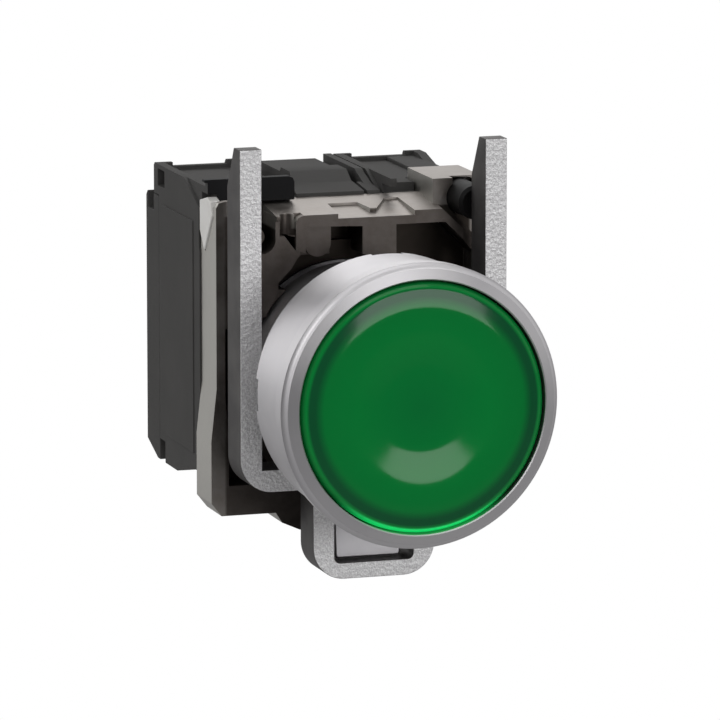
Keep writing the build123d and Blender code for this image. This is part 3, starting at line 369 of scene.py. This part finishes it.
# %% [markdown]
# ## Metals
# The bezel is a zinc casting under satin chrome: almost even, with a soft reflection. Screws, washers
# and the locking lever are zinc-plated steel, light and faintly violet. The clamp screw is near-black
# steel, nearly without gloss. Springs are drawn wire, and the terminals are tinned brass.
# The grain of plated and drawn metal is too fine to show at this distance, so it is drawn at 0.2 to
# 0.5 mm, as coarse as a reflection needs to look soft instead of perfect. They differ only in the
# values of the one function, so no tree of their own is needed.

# %% Metals
METAL = {"Metallic": 1.0}
LITTLE_GLOSS = {"Specular IOR Level": 0.2}

satin_chrome = make_finish("satin_chrome", "#d2d0d2", "#c8c6c9", 9, (0.40, 0.47), 0.5, 0.002, **METAL)
plated_steel = make_finish(
    "zinc_plated_steel", "#e8e6e9", "#dad8dc", 4, (0.38, 0.46), 0.3, 0.003, **METAL
)
near_black = make_finish(
    "black_oxide_steel",
    "#0e0d0d",
    "#080808",
    2,
    (0.55, 0.65),
    0.2,
    0.002,
    Metallic=0.3,
    **LITTLE_GLOSS,
)
spring_wire = make_finish("spring_wire", "#b4b3b2", "#8f8e8d", 2, (0.20, 0.32), 0.3, 0.002, **METAL)
tinned_brass = make_finish("tinned_brass", "#cfc7a6", "#b9ae86", 2, (0.28, 0.40), 0.3, 0.002, **METAL)
metals = (satin_chrome, plated_steel, near_black, spring_wire, tinned_brass)
print("metals:", [metal.name for metal in metals])

# %% [markdown]
# ## Plastics, rubber and board
# The blocks are glass-filled polyamide: dark grey, with the fine eroded texture of the mould, which
# takes nearly all gloss away. Their front tab lies in shade, and near-black on it is painted shade.
# The carrier and the plungers are black acetal, which slides well and is smoother. The latch, the lamp
# holder and the diffuser are white polycarbonate. Gasket and lip seal are nitrile rubber. The lamp is
# a clear epoxy body on a glass-fibre board under green lacquer. The texture of a mould is finer than
# 0.1 mm, and is drawn at about twice that here, so that it still breaks up the reflections.

# %% Plastics, rubber and board
grey_polyamide = make_finish(
    "grey_polyamide", "#4c4b4a", "#424140", 8, (0.70, 0.80), 0.18, 0.008, IOR=1.5, **LITTLE_GLOSS
)
shade_black_polyamide = make_finish(
    "shade_black_polyamide", "#19191b", "#131315", 8, (0.60, 0.70), 0.18, 0.006, IOR=1.5, **LITTLE_GLOSS
)
black_acetal = make_finish("black_acetal", "#262626", "#1f1f1f", 6, (0.35, 0.45), 0.3, 0.003, IOR=1.48)
white_plastic = make_finish(
    "white_polycarbonate", "#f7f6f3", "#efede9", 4, (0.35, 0.45), 0.3, 0.003, IOR=1.58
)
black_rubber = make_finish(
    "nitrile_rubber", "#191919", "#121212", 3, (0.60, 0.75), 0.25, 0.006, IOR=1.52
)
board_green = make_finish(
    "glass_fibre_board", "#1f5a35", "#18492b", 2, (0.30, 0.40), 0.4, 0.004, IOR=1.5
)
clear_epoxy = make_finish(
    "clear_epoxy",
    "#f2f2ee",
    "#ebebe6",
    3,
    (0.04, 0.08),
    0.5,
    0.001,
    IOR=1.54,
    **{"Transmission Weight": 1.0},
)
plastics = (grey_polyamide, shade_black_polyamide, black_acetal, white_plastic, clear_epoxy)
print("plastics:", [plastic.name for plastic in plastics])

# %% [markdown]
# ## Sand-cast zinc of the yoke
# The yoke's front face has the coarse grain of the sand mould. It is bright, because each grain
# mirrors the lamps in its own direction, and single grains sparkle. The sides and the tips are dark
# and smooth. Two materials on two sets of faces could do this, but then the border would be hard. Here
# the shader tells the two apart by the surface's direction in the object's own space, so that one
# material serves the whole fork wherever it slides, and the rounded edges blend.

# %% Yoke's material: where its front is
GRAIN_MM = 0.42
GRAIN_HEIGHT_MM = 0.06
FULL_FRONT, NO_FRONT = -0.95, -0.60

sand_cast_zinc, tree = empty_material("sand_cast_zinc")
place = add_node(tree, "ShaderNodeTexCoord")
facing = add_node(tree, "ShaderNodeSeparateXYZ", links={0: place.outputs["Normal"]})
front_mask = add_node(
    tree,
    "ShaderNodeMapRange",
    values={"From Min": FULL_FRONT, "From Max": NO_FRONT, "To Min": 1.0, "To Max": 0.0},
    links={"Value": facing.outputs["Y"]},
)
print("grain of the sand:", GRAIN_MM, "mm")

# %% Yoke's material: grains and dust
DUST_MM = 0.45 * GRAIN_MM

grains = add_node(
    tree,
    "ShaderNodeTexVoronoi",
    feature="F1",
    values={"Scale": 1 / (GRAIN_MM * MM), "Randomness": 1.0},
    links={"Vector": place.outputs["Object"]},
)
dust = add_node(
    tree,
    "ShaderNodeTexNoise",
    values={"Scale": 1 / (DUST_MM * MM), "Detail": 3.0},
    links={"Vector": place.outputs["Object"]},
)
grit = add_node(
    tree,
    "ShaderNodeMath",
    operation="ADD",
    links={0: grains.outputs["Distance"], 1: dust.outputs["Fac"]},
)
grit_front = add_node(
    tree,
    "ShaderNodeMath",
    operation="MULTIPLY",
    links={0: grit.outputs[0], 1: front_mask.outputs[0]},
)
bump = add_node(
    tree,
    "ShaderNodeBump",
    values={"Strength": 1.0, "Distance": GRAIN_HEIGHT_MM * MM},
    links={"Height": grit_front.outputs[0]},
)
print("grain stands up to", GRAIN_HEIGHT_MM, "mm high")

# %% Yoke's material: colours
CLOUDS_MM = 4

grain_colour = add_node(tree, "ShaderNodeValToRGB", links={"Fac": dust.outputs["Fac"]})
grain_colour.color_ramp.elements[0].position = 0.38
grain_colour.color_ramp.elements[0].color = linear("#e4e2e4")
grain_colour.color_ramp.elements[1].position = 0.62
grain_colour.color_ramp.elements[1].color = linear("#ffffff")
clouds = add_node(
    tree,
    "ShaderNodeTexNoise",
    values={"Scale": 1 / (CLOUDS_MM * MM), "Detail": 3.0},
    links={"Vector": place.outputs["Object"]},
)
side_colour = add_node(tree, "ShaderNodeValToRGB", links={"Fac": clouds.outputs["Fac"]})
side_colour.color_ramp.elements[0].position = 0.35
side_colour.color_ramp.elements[0].color = linear("#454343")
side_colour.color_ramp.elements[1].position = 0.65
side_colour.color_ramp.elements[1].color = linear("#575554")
colour = add_node(
    tree,
    "ShaderNodeMix",
    data_type="RGBA",
    links={
        0: front_mask.outputs[0],
        6: side_colour.outputs["Color"],
        7: grain_colour.outputs["Color"],
    },
)
print("colour drifts over", CLOUDS_MM, "mm on the sides and", round(DUST_MM, 2), "mm on the front")

# %% Yoke's material: shader
SIDE_ROUGH, FRONT_ROUGH = 0.55, 0.50

sheen = add_node(
    tree,
    "ShaderNodeMapRange",
    values={"From Min": 0.0, "From Max": 1.0, "To Min": SIDE_ROUGH, "To Max": FRONT_ROUGH},
    links={"Value": front_mask.outputs[0]},
)
# Not fully metallic, because the casting's skin scatters some light as well
shader = add_node(
    tree,
    "ShaderNodeBsdfPrincipled",
    values={"Metallic": 0.76},
    links={"Base Color": colour.outputs[2], "Roughness": sheen.outputs[0], "Normal": bump.outputs[0]},
)
add_node(tree, "ShaderNodeOutputMaterial", links={"Surface": shader.outputs[0]})
print("yoke's material:", len(tree.nodes), "nodes")

# %% [markdown]
# ## Die-cast zinc of the collar
# The collar is pressure-cast zinc, passivated and tumbled. Tumbling polished its outer faces to a
# light grey with a brownish tint. The sides are lighter still, as painted light. The pockets and the
# low fronts are darker, as painted shade, and the deeper the pockets go the darker they are. Painting
# each face would need a list of faces. The shader finds the pockets by their place on the casting,
# which never moves, and the sides and the fronts by the surface's direction.

# %% Collar's material: where its pockets are
POCKET_HALF_W = (13.6, 13.9)
POCKET_TOP = (15.0, 15.25)
POCKET_FOOT = (-12.1, -11.8)

die_cast_zinc, tree = empty_material("die_cast_zinc")
place = add_node(tree, "ShaderNodeTexCoord")
axes = add_node(tree, "ShaderNodeSeparateXYZ", links={0: place.outputs["Object"]})
sideways = add_node(tree, "ShaderNodeMath", operation="ABSOLUTE", links={0: axes.outputs["X"]})
inside_walls = add_node(
    tree,
    "ShaderNodeMapRange",
    values={"From Min": POCKET_HALF_W[1] * MM, "From Max": POCKET_HALF_W[0] * MM},
    links={"Value": sideways.outputs[0]},
)
below_shelf = add_node(
    tree,
    "ShaderNodeMapRange",
    values={"From Min": POCKET_TOP[1] * MM, "From Max": POCKET_TOP[0] * MM},
    links={"Value": axes.outputs["Z"]},
)
above_foot = add_node(
    tree,
    "ShaderNodeMapRange",
    values={"From Min": POCKET_FOOT[0] * MM, "From Max": POCKET_FOOT[1] * MM},
    links={"Value": axes.outputs["Z"]},
)
in_height = add_node(
    tree,
    "ShaderNodeMath",
    operation="MULTIPLY",
    links={0: below_shelf.outputs[0], 1: above_foot.outputs[0]},
)
in_pockets = add_node(
    tree,
    "ShaderNodeMath",
    operation="MULTIPLY",
    links={0: in_height.outputs[0], 1: inside_walls.outputs[0]},
)
print("pockets reach", POCKET_HALF_W[0], "mm to each side")

# %% Collar's material: painted shade on the low fronts
FRONT_STARTS, FRONT_FULL = -0.4, -0.8
SHELF_EDGE = (16.5, 16.7)

facing = add_node(tree, "ShaderNodeSeparateXYZ", links={0: place.outputs["Normal"]})
to_front = add_node(
    tree,
    "ShaderNodeMapRange",
    values={"From Min": FRONT_STARTS, "From Max": FRONT_FULL},
    links={"Value": facing.outputs["Y"]},
)
below_edge = add_node(
    tree,
    "ShaderNodeMapRange",
    values={"From Min": SHELF_EDGE[1] * MM, "From Max": SHELF_EDGE[0] * MM},
    links={"Value": axes.outputs["Z"]},
)
low_front = add_node(
    tree,
    "ShaderNodeMath",
    operation="MULTIPLY",
    links={0: to_front.outputs[0], 1: below_edge.outputs[0]},
)
dark_front = add_node(
    tree,
    "ShaderNodeMath",
    operation="MULTIPLY",
    links={0: low_front.outputs[0], 1: inside_walls.outputs[0]},
)
# Painted shade: the pockets and the low fronts take a darker colour
painted_shade_mask = add_node(
    tree,
    "ShaderNodeMath",
    operation="MAXIMUM",
    links={0: in_pockets.outputs[0], 1: dark_front.outputs[0]},
)
# The low fronts carry painted shade
print("fronts keep the dark skin below", SHELF_EDGE[0], "mm")

# %% Collar's material: colour of the tumbled faces, with painted light on the sides
FLOW_MM = 3
SIDE_STARTS, SIDE_FULL = 0.5, 0.9

flow = add_node(
    tree,
    "ShaderNodeTexNoise",
    values={"Scale": 1 / (FLOW_MM * MM), "Detail": 4.0, "Roughness": 0.6},
    links={"Vector": place.outputs["Object"]},
)
tumbled = add_node(tree, "ShaderNodeValToRGB", links={"Fac": flow.outputs["Fac"]})
tumbled.color_ramp.elements[0].position = 0.36
tumbled.color_ramp.elements[0].color = linear("#8a847f")
tumbled.color_ramp.elements[1].position = 0.64
tumbled.color_ramp.elements[1].color = linear("#9b9692")
across = add_node(tree, "ShaderNodeMath", operation="ABSOLUTE", links={0: facing.outputs["X"]})
to_side = add_node(
    tree,
    "ShaderNodeMapRange",
    values={"From Min": SIDE_STARTS, "From Max": SIDE_FULL},
    links={"Value": across.outputs[0]},
)
# Painted light: the sides take a lighter colour than the tumbled faces
outer = add_node(
    tree,
    "ShaderNodeMix",
    data_type="RGBA",
    values={7: linear("#b3b1ac")},
    links={0: to_side.outputs[0], 6: tumbled.outputs["Color"]},
)
print("flow marks of the casting:", FLOW_MM, "mm")

# %% Collar's material: colour of the painted shade
DEPTH_STARTS, DEPTH_FULL = 9.8, 12.4

depth = add_node(
    tree,
    "ShaderNodeMapRange",
    interpolation_type="SMOOTHSTEP",
    values={"From Min": DEPTH_STARTS * MM, "From Max": DEPTH_FULL * MM},
    links={"Value": axes.outputs["Y"]},
)
painted_shade_tone = add_node(tree, "ShaderNodeValToRGB", links={"Fac": flow.outputs["Fac"]})
painted_shade_tone.color_ramp.elements[0].position = 0.36
painted_shade_tone.color_ramp.elements[0].color = linear("#5b5551")
painted_shade_tone.color_ramp.elements[1].position = 0.64
painted_shade_tone.color_ramp.elements[1].color = linear("#6c6662")
# Painted shade that grows darker the deeper the pocket goes
pocket = add_node(
    tree,
    "ShaderNodeMix",
    data_type="RGBA",
    values={7: linear("#38332f")},
    links={0: depth.outputs[0], 6: painted_shade_tone.outputs["Color"]},
)
colour = add_node(
    tree,
    "ShaderNodeMix",
    data_type="RGBA",
    links={0: painted_shade_mask.outputs[0], 6: outer.outputs[2], 7: pocket.outputs[2]},
)
print("pockets are darkest behind", DEPTH_FULL, "mm")

# %% Collar's material: pores and shader
PORES_MM, PORE_DEPTH_MM = 0.7, 0.02
COLLAR_ROUGH = (0.40, 0.54)

sheen = add_node(
    tree,
    "ShaderNodeMapRange",
    values={
        "From Min": NOISE_LOW,
        "From Max": NOISE_HIGH,
        "To Min": COLLAR_ROUGH[0],
        "To Max": COLLAR_ROUGH[1],
    },
    links={"Value": flow.outputs["Fac"]},
)
pores = add_node(
    tree,
    "ShaderNodeTexNoise",
    values={"Scale": 1 / (PORES_MM * MM), "Detail": 3.0},
    links={"Vector": place.outputs["Object"]},
)
bump = add_node(
    tree,
    "ShaderNodeBump",
    values={"Strength": 1.0, "Distance": PORE_DEPTH_MM * MM},
    links={"Height": pores.outputs["Fac"]},
)
shader = add_node(
    tree,
    "ShaderNodeBsdfPrincipled",
    values=METAL,
    links={"Base Color": colour.outputs[2], "Roughness": sheen.outputs[0], "Normal": bump.outputs[0]},
)
add_node(tree, "ShaderNodeOutputMaterial", links={"Surface": shader.outputs[0]})
print("collar's material:", len(tree.nodes), "nodes")

# %% [markdown]
# ## Green acrylic of the lens
# The lens is moulded from translucent green acrylic and polished. Unlit, it is a deep green. Where the
# border rounds down to the rim, a darker ring is painted shade, and a lighter line along the rim is
# painted light, brightest at the bottom, for light that the acrylic guides to its edge. Real
# transmission through the diffuser would show this too, but with much noise, so the colour follows
# the distance from the button's axis, and the lower rim gives a little painted glow.

# %% Lens material: rings of colour, with painted shade and painted light
RAMP_R = 13.0
# Radius in millimetres and the colour there
RING_COLOURS = (
    (0.0, "#047636"),
    (7.0, "#048238"),
    (10.6, "#057c36"),
    # Painted shade where the border rounds down to the rim
    (11.5, "#0d5530"),
    (12.1, "#0d5530"),
    # Painted light: a lighter line along the rim
    (12.4, "#0a8a3c"),
    (12.8, "#0a7a36"),
)

green_acrylic, tree = empty_material("green_acrylic")
place = add_node(tree, "ShaderNodeTexCoord")
in_plane = add_node(
    tree,
    "ShaderNodeVectorMath",
    operation="MULTIPLY",
    values={1: (1.0, 0.0, 1.0)},
    links={0: place.outputs["Object"]},
)
radius = add_node(tree, "ShaderNodeVectorMath", operation="LENGTH", links={0: in_plane.outputs[0]})
outward = add_node(
    tree,
    "ShaderNodeMapRange",
    values={"From Min": 0.0, "From Max": RAMP_R * MM},
    links={"Value": radius.outputs["Value"]},
)
rings = add_node(tree, "ShaderNodeValToRGB", links={"Fac": outward.outputs[0]})
stops = rings.color_ramp.elements
for index, (radius_mm, hex_colour) in enumerate(RING_COLOURS):
    # A new ramp has two stops already
    stop = stops[index] if index < 2 else stops.new(radius_mm / RAMP_R)
    stop.position = radius_mm / RAMP_R
    stop.color = linear(hex_colour)
print("lens rings:", len(stops))

# %% Lens material: painted light on the lower rim, for the light that enters from above
RIM_STARTS, RIM_FULL = 12.35, 12.60
LOW_STARTS, LOW_FULL = -8.5, -12.2
RIM_GLOW = 0.28

rim = add_node(
    tree,
    "ShaderNodeMapRange",
    interpolation_type="SMOOTHSTEP",
    values={"From Min": RIM_STARTS * MM, "From Max": RIM_FULL * MM},
    links={"Value": radius.outputs["Value"]},
)
axes = add_node(tree, "ShaderNodeSeparateXYZ", links={0: place.outputs["Object"]})
low = add_node(
    tree,
    "ShaderNodeMapRange",
    interpolation_type="SMOOTHSTEP",
    values={"From Min": LOW_STARTS * MM, "From Max": LOW_FULL * MM},
    links={"Value": axes.outputs["Z"]},
)
lit_rim = add_node(
    tree,
    "ShaderNodeMath",
    operation="MULTIPLY",
    links={0: rim.outputs[0], 1: low.outputs[0]},
)
# Painted light: the lower rim is lighter and glows a little, though the lens is no lamp
green = add_node(
    tree,
    "ShaderNodeMix",
    data_type="RGBA",
    values={7: linear("#1ef078")},
    links={0: lit_rim.outputs[0], 6: rings.outputs["Color"]},
)
painted_rim_glow = add_node(
    tree,
    "ShaderNodeMath",
    operation="MULTIPLY",
    values={1: RIM_GLOW},
    links={0: lit_rim.outputs[0]},
)
print("rim's own light:", RIM_GLOW)

# %% Lens material: polish and shader
POLISH = (0.08, 0.11)
POLISH_MM = 6

clouds = add_node(
    tree,
    "ShaderNodeTexNoise",
    values={"Scale": 1 / (POLISH_MM * MM), "Detail": 2.0},
    links={"Vector": place.outputs["Object"]},
)
polish = add_node(
    tree,
    "ShaderNodeMapRange",
    values={
        "From Min": NOISE_LOW,
        "From Max": NOISE_HIGH,
        "To Min": POLISH[0],
        "To Max": POLISH[1],
    },
    links={"Value": clouds.outputs["Fac"]},
)
# Less mirror than clear acrylic has, because the real lens shows the soft box only faintly
shader = add_node(
    tree,
    "ShaderNodeBsdfPrincipled",
    values={"IOR": 1.49, "Specular IOR Level": 0.24},
    links={
        "Base Color": green.outputs[2],
        "Roughness": polish.outputs[0],
        "Emission Color": green.outputs[2],
        "Emission Strength": painted_rim_glow.outputs[0],
    },
)
add_node(tree, "ShaderNodeOutputMaterial", links={"Surface": shader.outputs[0]})
print("lens material:", len(tree.nodes), "nodes")

# %% [markdown]
# ## From a bmesh to a piece
# Each new piece goes the same last steps: its bmesh becomes a mesh with a material, the mesh an object
# at the origin, and the object rides on a body of the model. So one function does them.


# %% Helper for pieces
def add_piece(name, bm, material, body, sharp_degrees=None):
    """Makes a bmesh a piece that rides on a body; with sharp_degrees, smooth except where edges are
    sharper.
    """
    mesh = bpy.data.meshes.new(name)
    bm.to_mesh(mesh)
    bm.free()
    if sharp_degrees is not None:
        mesh.shade_smooth()
        mesh.set_sharp_from_angle(angle=math.radians(sharp_degrees))
    mesh.materials.append(material)
    piece = bpy.data.objects.new(name, mesh)
    bpy.context.scene.collection.objects.link(piece)
    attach(piece, body)
    print(name, "faces:", len(mesh.polygons))
    return piece


# %% [markdown]
# ## The lens as a turned piece
# The lens cap is a disc with a shallow dish, a rounded border and a short skirt. It is a body of
# revolution, so its profile is drawn once, as a chain of edges, and spun round the button's axis. The
# CAD solid could be smoothed instead, but more steps than its mesh has, and slopes of its own, keep
# the mirrored soft box smooth on it. A flat slope mirrors one direction only. So the level middle, the
# conical ring and the crest each mirror the lamp or the dark room, with an arc where they meet.

# %% Lens: its front, from slopes
LENS_FRONT = -13.55
EDGE_R, CAP_R = 12.15, 12.95
STEP, NEARLY = 0.3, 0.01
# Radius in millimetres and the slope there in degrees
SLOPES = (
    (0.0, 0.0),
    (3.5, 0.0),
    (4.9, -7.4),
    (7.5, -7.4),
    (8.6, 0.0),
    (9.9, 0.0),
    (10.8, 8.0),
    (EDGE_R, 9.0),
)


def slope_at(radius):
    """The lens's slope at a radius, between the listed ones."""
    for (r0, s0), (r1, s1) in zip(SLOPES, SLOPES[1:]):
        if radius <= r1:
            return math.radians(s0 + (s1 - s0) * (radius - r0) / (r1 - r0))
    return math.radians(SLOPES[-1][1])


profile = [(0.0, 0.0)]
while profile[-1][0] < EDGE_R - NEARLY:
    radius_here, depth_here = profile[-1]
    step = min(STEP, EDGE_R - radius_here)
    drop = step * math.tan(slope_at(radius_here + step / 2))
    profile.append((radius_here + step, depth_here + drop))
highest = min(y for r, y in profile)
profile = [(r, y - highest + LENS_FRONT) for r, y in profile]
dish_centre = profile[0][1]
print("lens depth mm:", round(dish_centre - LENS_FRONT, 2))

# %% Lens: its rounded border, skirt and inside
EDGE_DROP, BORDER_STEPS = 0.85, 8
WALL, SKIRT_WALL, SKIRT_BACK = 0.55, 0.75, -11.5

edge_y = profile[-1][1]
first_turn = math.radians(SLOPES[-1][1])
for i in range(1, BORDER_STEPS + 1):
    turn = first_turn + (math.pi / 2 - first_turn) * i / BORDER_STEPS
    outward_share = (math.sin(turn) - math.sin(first_turn)) / (1 - math.sin(first_turn))
    back_share = (math.cos(first_turn) - math.cos(turn)) / math.cos(first_turn)
    profile.append((EDGE_R + (CAP_R - EDGE_R) * outward_share, edge_y + EDGE_DROP * back_share))
inner_r, inner_back = CAP_R - SKIRT_WALL, dish_centre + WALL
profile += [(CAP_R, SKIRT_BACK), (inner_r, SKIRT_BACK), (inner_r, inner_back), (0.0, inner_back)]
print("lens profile:", len(profile), "points")

# %% Lens: spin
STEPS_ROUND = 160
SEAM_MM = 0.002

bm = bmesh.new()
chain = [bm.verts.new((r * MM, y * MM, 0)) for r, y in profile]
for first, second in zip(chain, chain[1:]):
    bm.edges.new((first, second))
bmesh.ops.spin(
    bm,
    geom=bm.verts[:] + bm.edges[:],
    cent=(0, 0, 0),
    axis=(0, 1, 0),
    angle=2 * math.pi,
    steps=STEPS_ROUND,
    use_merge=True,
    use_duplicate=False,
)
bmesh.ops.remove_doubles(bm, verts=bm.verts, dist=SEAM_MM * MM)
bmesh.ops.recalc_face_normals(bm, faces=bm.faces)
lens = add_piece("lens", bm, green_acrylic, "button", sharp_degrees=40)
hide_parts("lens_cap")

# %% [markdown]
# ## Rounded edges of castings and mouldings
# Castings and mouldings have small roundings on every edge, and these catch the light as thin bright
# lines. The CAD solids have sharp edges. A bevel modifier would round every edge of their triangles
# too. So each larger piece is a merged copy of its CAD node, whose flat areas are dissolved into
# whole faces, and whose sharp edges then get a narrow bevel. Weighted normals keep large faces flat to
# the eye, so that only the rounding blends.

# %% Helpers for rounded copies
MERGE_MM = 0.001
FLAT_DEGREES, SHARP_DEGREES = 0.6, 32


def merged_copy(node_name):
    """A bmesh of a CAD node with its loose triangles joined."""
    bm = bmesh.new()
    bm.from_mesh(nodes[node_name].data)
    bmesh.ops.remove_doubles(bm, verts=bm.verts, dist=MERGE_MM * MM)
    return bm


def round_edges(bm, edges, edge_mm):
    """Gives edges a narrow rounding of two segments."""
    bmesh.ops.bevel(
        bm,
        geom=edges,
        offset=edge_mm * MM,
        offset_type="OFFSET",
        affect="EDGES",
        segments=2,
        profile=0.5,
        clamp_overlap=True,
        material=-1,
    )


def rounded_copy(node_name, body, edge_mm, material):
    """A copy of a CAD node with a narrow rounding along its sharp edges, in the node's place."""
    bm = merged_copy(node_name)
    flat = math.radians(FLAT_DEGREES)
    bmesh.ops.dissolve_limit(bm, angle_limit=flat, verts=bm.verts[:], edges=bm.edges[:])
    limit = math.radians(SHARP_DEGREES)
    sharp = [e for e in bm.edges if len(e.link_faces) == 2 and e.calc_face_angle(0.0) > limit]
    round_edges(bm, sharp, edge_mm)
    piece = add_piece(node_name + "_rounded", bm, material, body, sharp_degrees=60)
    crisp = piece.modifiers.new("crisp_faces", "WEIGHTED_NORMAL")
    crisp.keep_sharp = True
    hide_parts(node_name)
    return piece


# %% Rounded metal pieces and the latch
rounded_copy("collar_body", "frame", edge_mm=0.08, material=die_cast_zinc)
rounded_copy("clamp_yoke", "yoke", edge_mm=0.10, material=sand_cast_zinc)
lever = rounded_copy("locking_lever", "lever", edge_mm=0.10, material=plated_steel)
rounded_copy("latch_no", "frame", edge_mm=0.12, material=white_plastic)

# %% Rounded blocks
MOULD_EDGE_MM = 0.12
housings = {}
for kind in ("no", "lamp", "nc"):
    housings[kind] = rounded_copy(f"housing_{kind}", "frame", MOULD_EDGE_MM, grey_polyamide)
    rounded_copy(f"cover_{kind}", "frame", MOULD_EDGE_MM, grey_polyamide)

# %% [markdown]
# ## The lever's tab and the left block's tab
# The tab of the locking lever fills the yoke's loop nearly down to its floor. The solid keeps a wider
# gap there, because the loop's corners are round and the yoke has to slide past the tab. On the copy
# the tab's foot moves down and its left edge outwards, by a few tenths of a millimetre. The left
# block's front tab lies in shade, so its faces take a second material, near-black as painted shade.

# %% Lever's tab
FOOT_BELOW, FOOT_IN_FRONT_OF = -18.1, 6.0
LEFT_EDGE_X = -2.0
FOOT_LOWER, EDGE_OUTWARDS = 0.32, 0.60

foot = [
    vert
    for vert in lever.data.vertices
    if vert.co.y < FOOT_IN_FRONT_OF * MM and vert.co.z < FOOT_BELOW * MM
]
for vert in foot:
    vert.co.z -= FOOT_LOWER * MM
    if vert.co.x < LEFT_EDGE_X * MM:
        vert.co.x -= EDGE_OUTWARDS * MM
print("points moved on the lever's tab:", len(foot))

# %% Left block's tab: painted shade
TAB_BACK, TAB_BOTTOM = 15.3, 17.2

left_block = housings["no"].data
# Painted shade: near-black plastic on the tab's faces
left_block.materials.append(shade_black_polyamide)
for face in left_block.polygons:
    if face.center.y < TAB_BACK * MM and face.center.z > TAB_BOTTOM * MM:
        face.material_index = 1
print("black faces:", sum(face.material_index for face in left_block.polygons))

# %% [markdown]
# ## Thin moulded plates
# A screwdriver reaches the clamp screw from behind, through the right block. The way runs just under
# the tray, so a thin moulded strip closes it from above. The outer side of each end block has a
# shallow raised field, left bare here. All are plates with rounded edges, so one function makes them:
# a cube is stretched to the plate's box, and its edges get a narrow bevel.


# %% Helper for moulded plates
def moulded_plate(name, box_mm, edge_mm):
    """A plate in grey polyamide that fills a box, with rounded edges."""
    bm = bmesh.new()
    bmesh.ops.create_cube(bm, size=1.0)
    for axis, (low_edge, high_edge) in enumerate(box_mm):
        for vert in bm.verts:
            vert.co[axis] = (low_edge if vert.co[axis] < 0 else high_edge) * MM
    round_edges(bm, bm.edges[:], edge_mm)
    add_piece(name, bm, grey_polyamide, "frame")


# %% Cover strip over the screwdriver's way
STRIP_BOX = ((10.9, 14.3), (21.9, 32.4), (18.25, 18.72))
moulded_plate("driver_way_cover", STRIP_BOX, edge_mm=0.1)

# %% Raised fields on the end blocks' sides
SIDE_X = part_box("housing_no")[0][0] / MM
FIELD_Y, FIELD_Z = (18.4, 29.9), (-9.7, 15.1)
FIELD_HEIGHT, FIELD_ROOT, FIELD_EDGE = 0.12, 0.3, 0.08

left_x = (SIDE_X - FIELD_HEIGHT, SIDE_X + FIELD_ROOT)
right_x = (-SIDE_X - FIELD_ROOT, -SIDE_X + FIELD_HEIGHT)
moulded_plate("side_field_left", (left_x, FIELD_Y, FIELD_Z), FIELD_EDGE)
moulded_plate("side_field_right", (right_x, FIELD_Y, FIELD_Z), FIELD_EDGE)
print("left side at", round(SIDE_X, 2), "mm")

# %% [markdown]
# ## Springs
# Springs are wound from round wire, and get shorter as the button goes in or the lever turns. Each
# is a merged copy of its CAD node, in its CAD shape. The spring of the normally closed contact gets
# longer instead, out of sight, and keeps its CAD node.

# %% Helper for copies of the springs that get shorter
ALONG_Y, ALONG_Z = (0, 1, 0), (0, 0, 1)


def squeezed_spring(node_name, body, joint, axis, seat_mm, shorter_mm):
    """A merged copy of a CAD spring, in the node's place, which rides on a body."""
    bm = merged_copy(node_name)
    spring = add_piece(node_name + "_wound", bm, spring_wire, body, sharp_degrees=40)
    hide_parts(node_name)
    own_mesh(spring)


# %% Springs
BUTTON_STROKE, CONTACT_TRAVEL, LEVER_TRAVEL = 4.3, 1.7, 0.9
# Node, body, joint, axis, place of the seat along it and how much shorter, both in millimetres
SPRINGS = (
    ("return_spring", "frame", "button_press", ALONG_Y, -2.42, BUTTON_STROKE),
    ("plunger_spring_no", "frame", "plunger_no_push", ALONG_Y, 31.48, BUTTON_STROKE),
    ("plunger_spring_nc", "frame", "plunger_nc_push", ALONG_Y, 31.48, BUTTON_STROKE),
    ("contact_spring_no", "plunger_set_no", "plunger_no_push", ALONG_Y, 20.42, CONTACT_TRAVEL),
    ("lever_spring", "frame", "locking_lever_lift", ALONG_Z, -15.88, LEVER_TRAVEL),
)
for spring_row in SPRINGS:
    squeezed_spring(*spring_row)

# %% [markdown]
# ## Finishes for the CAD nodes that stay
# The bezel, the screws and the inner parts have their right shape in the CAD model already. They
# could be rounded copies too, but their edges are drawn in the solids or can't be seen, so they only
# get their finish. The names follow a pattern, and loops take up what repeats.

# %% Finishes for the CAD nodes that stay
plain_finishes = {
    "bezel": satin_chrome,
    "panel_gasket": black_rubber,
    "diffuser": white_plastic,
    "button_carrier": black_acetal,
    "lip_seal": black_rubber,
    "carrier_clip": spring_wire,
    "clamp_screw": near_black,
    "lever_pin": plated_steel,
    "contact_spring_nc": spring_wire,
    "lamp_holder": white_plastic,
    "led_lens": clear_epoxy,
    "lamp_board": board_green,
}
for kind in ("no", "lamp", "nc"):
    for end in ("top", "bottom"):
        plain_finishes[f"terminal_{kind}_{end}"] = tinned_brass
        plain_finishes[f"clamp_washer_{kind}_{end}"] = plated_steel
        plain_finishes[f"terminal_screw_{kind}_{end}"] = plated_steel
for kind in ("no", "nc"):
    plain_finishes[f"plunger_{kind}"] = black_acetal
    plain_finishes[f"bridge_{kind}"] = tinned_brass
for name, material in plain_finishes.items():
    nodes[name].data.materials.clear()
    nodes[name].data.materials.append(material)
print("nodes with a finish:", len(plain_finishes), "of", len(nodes))
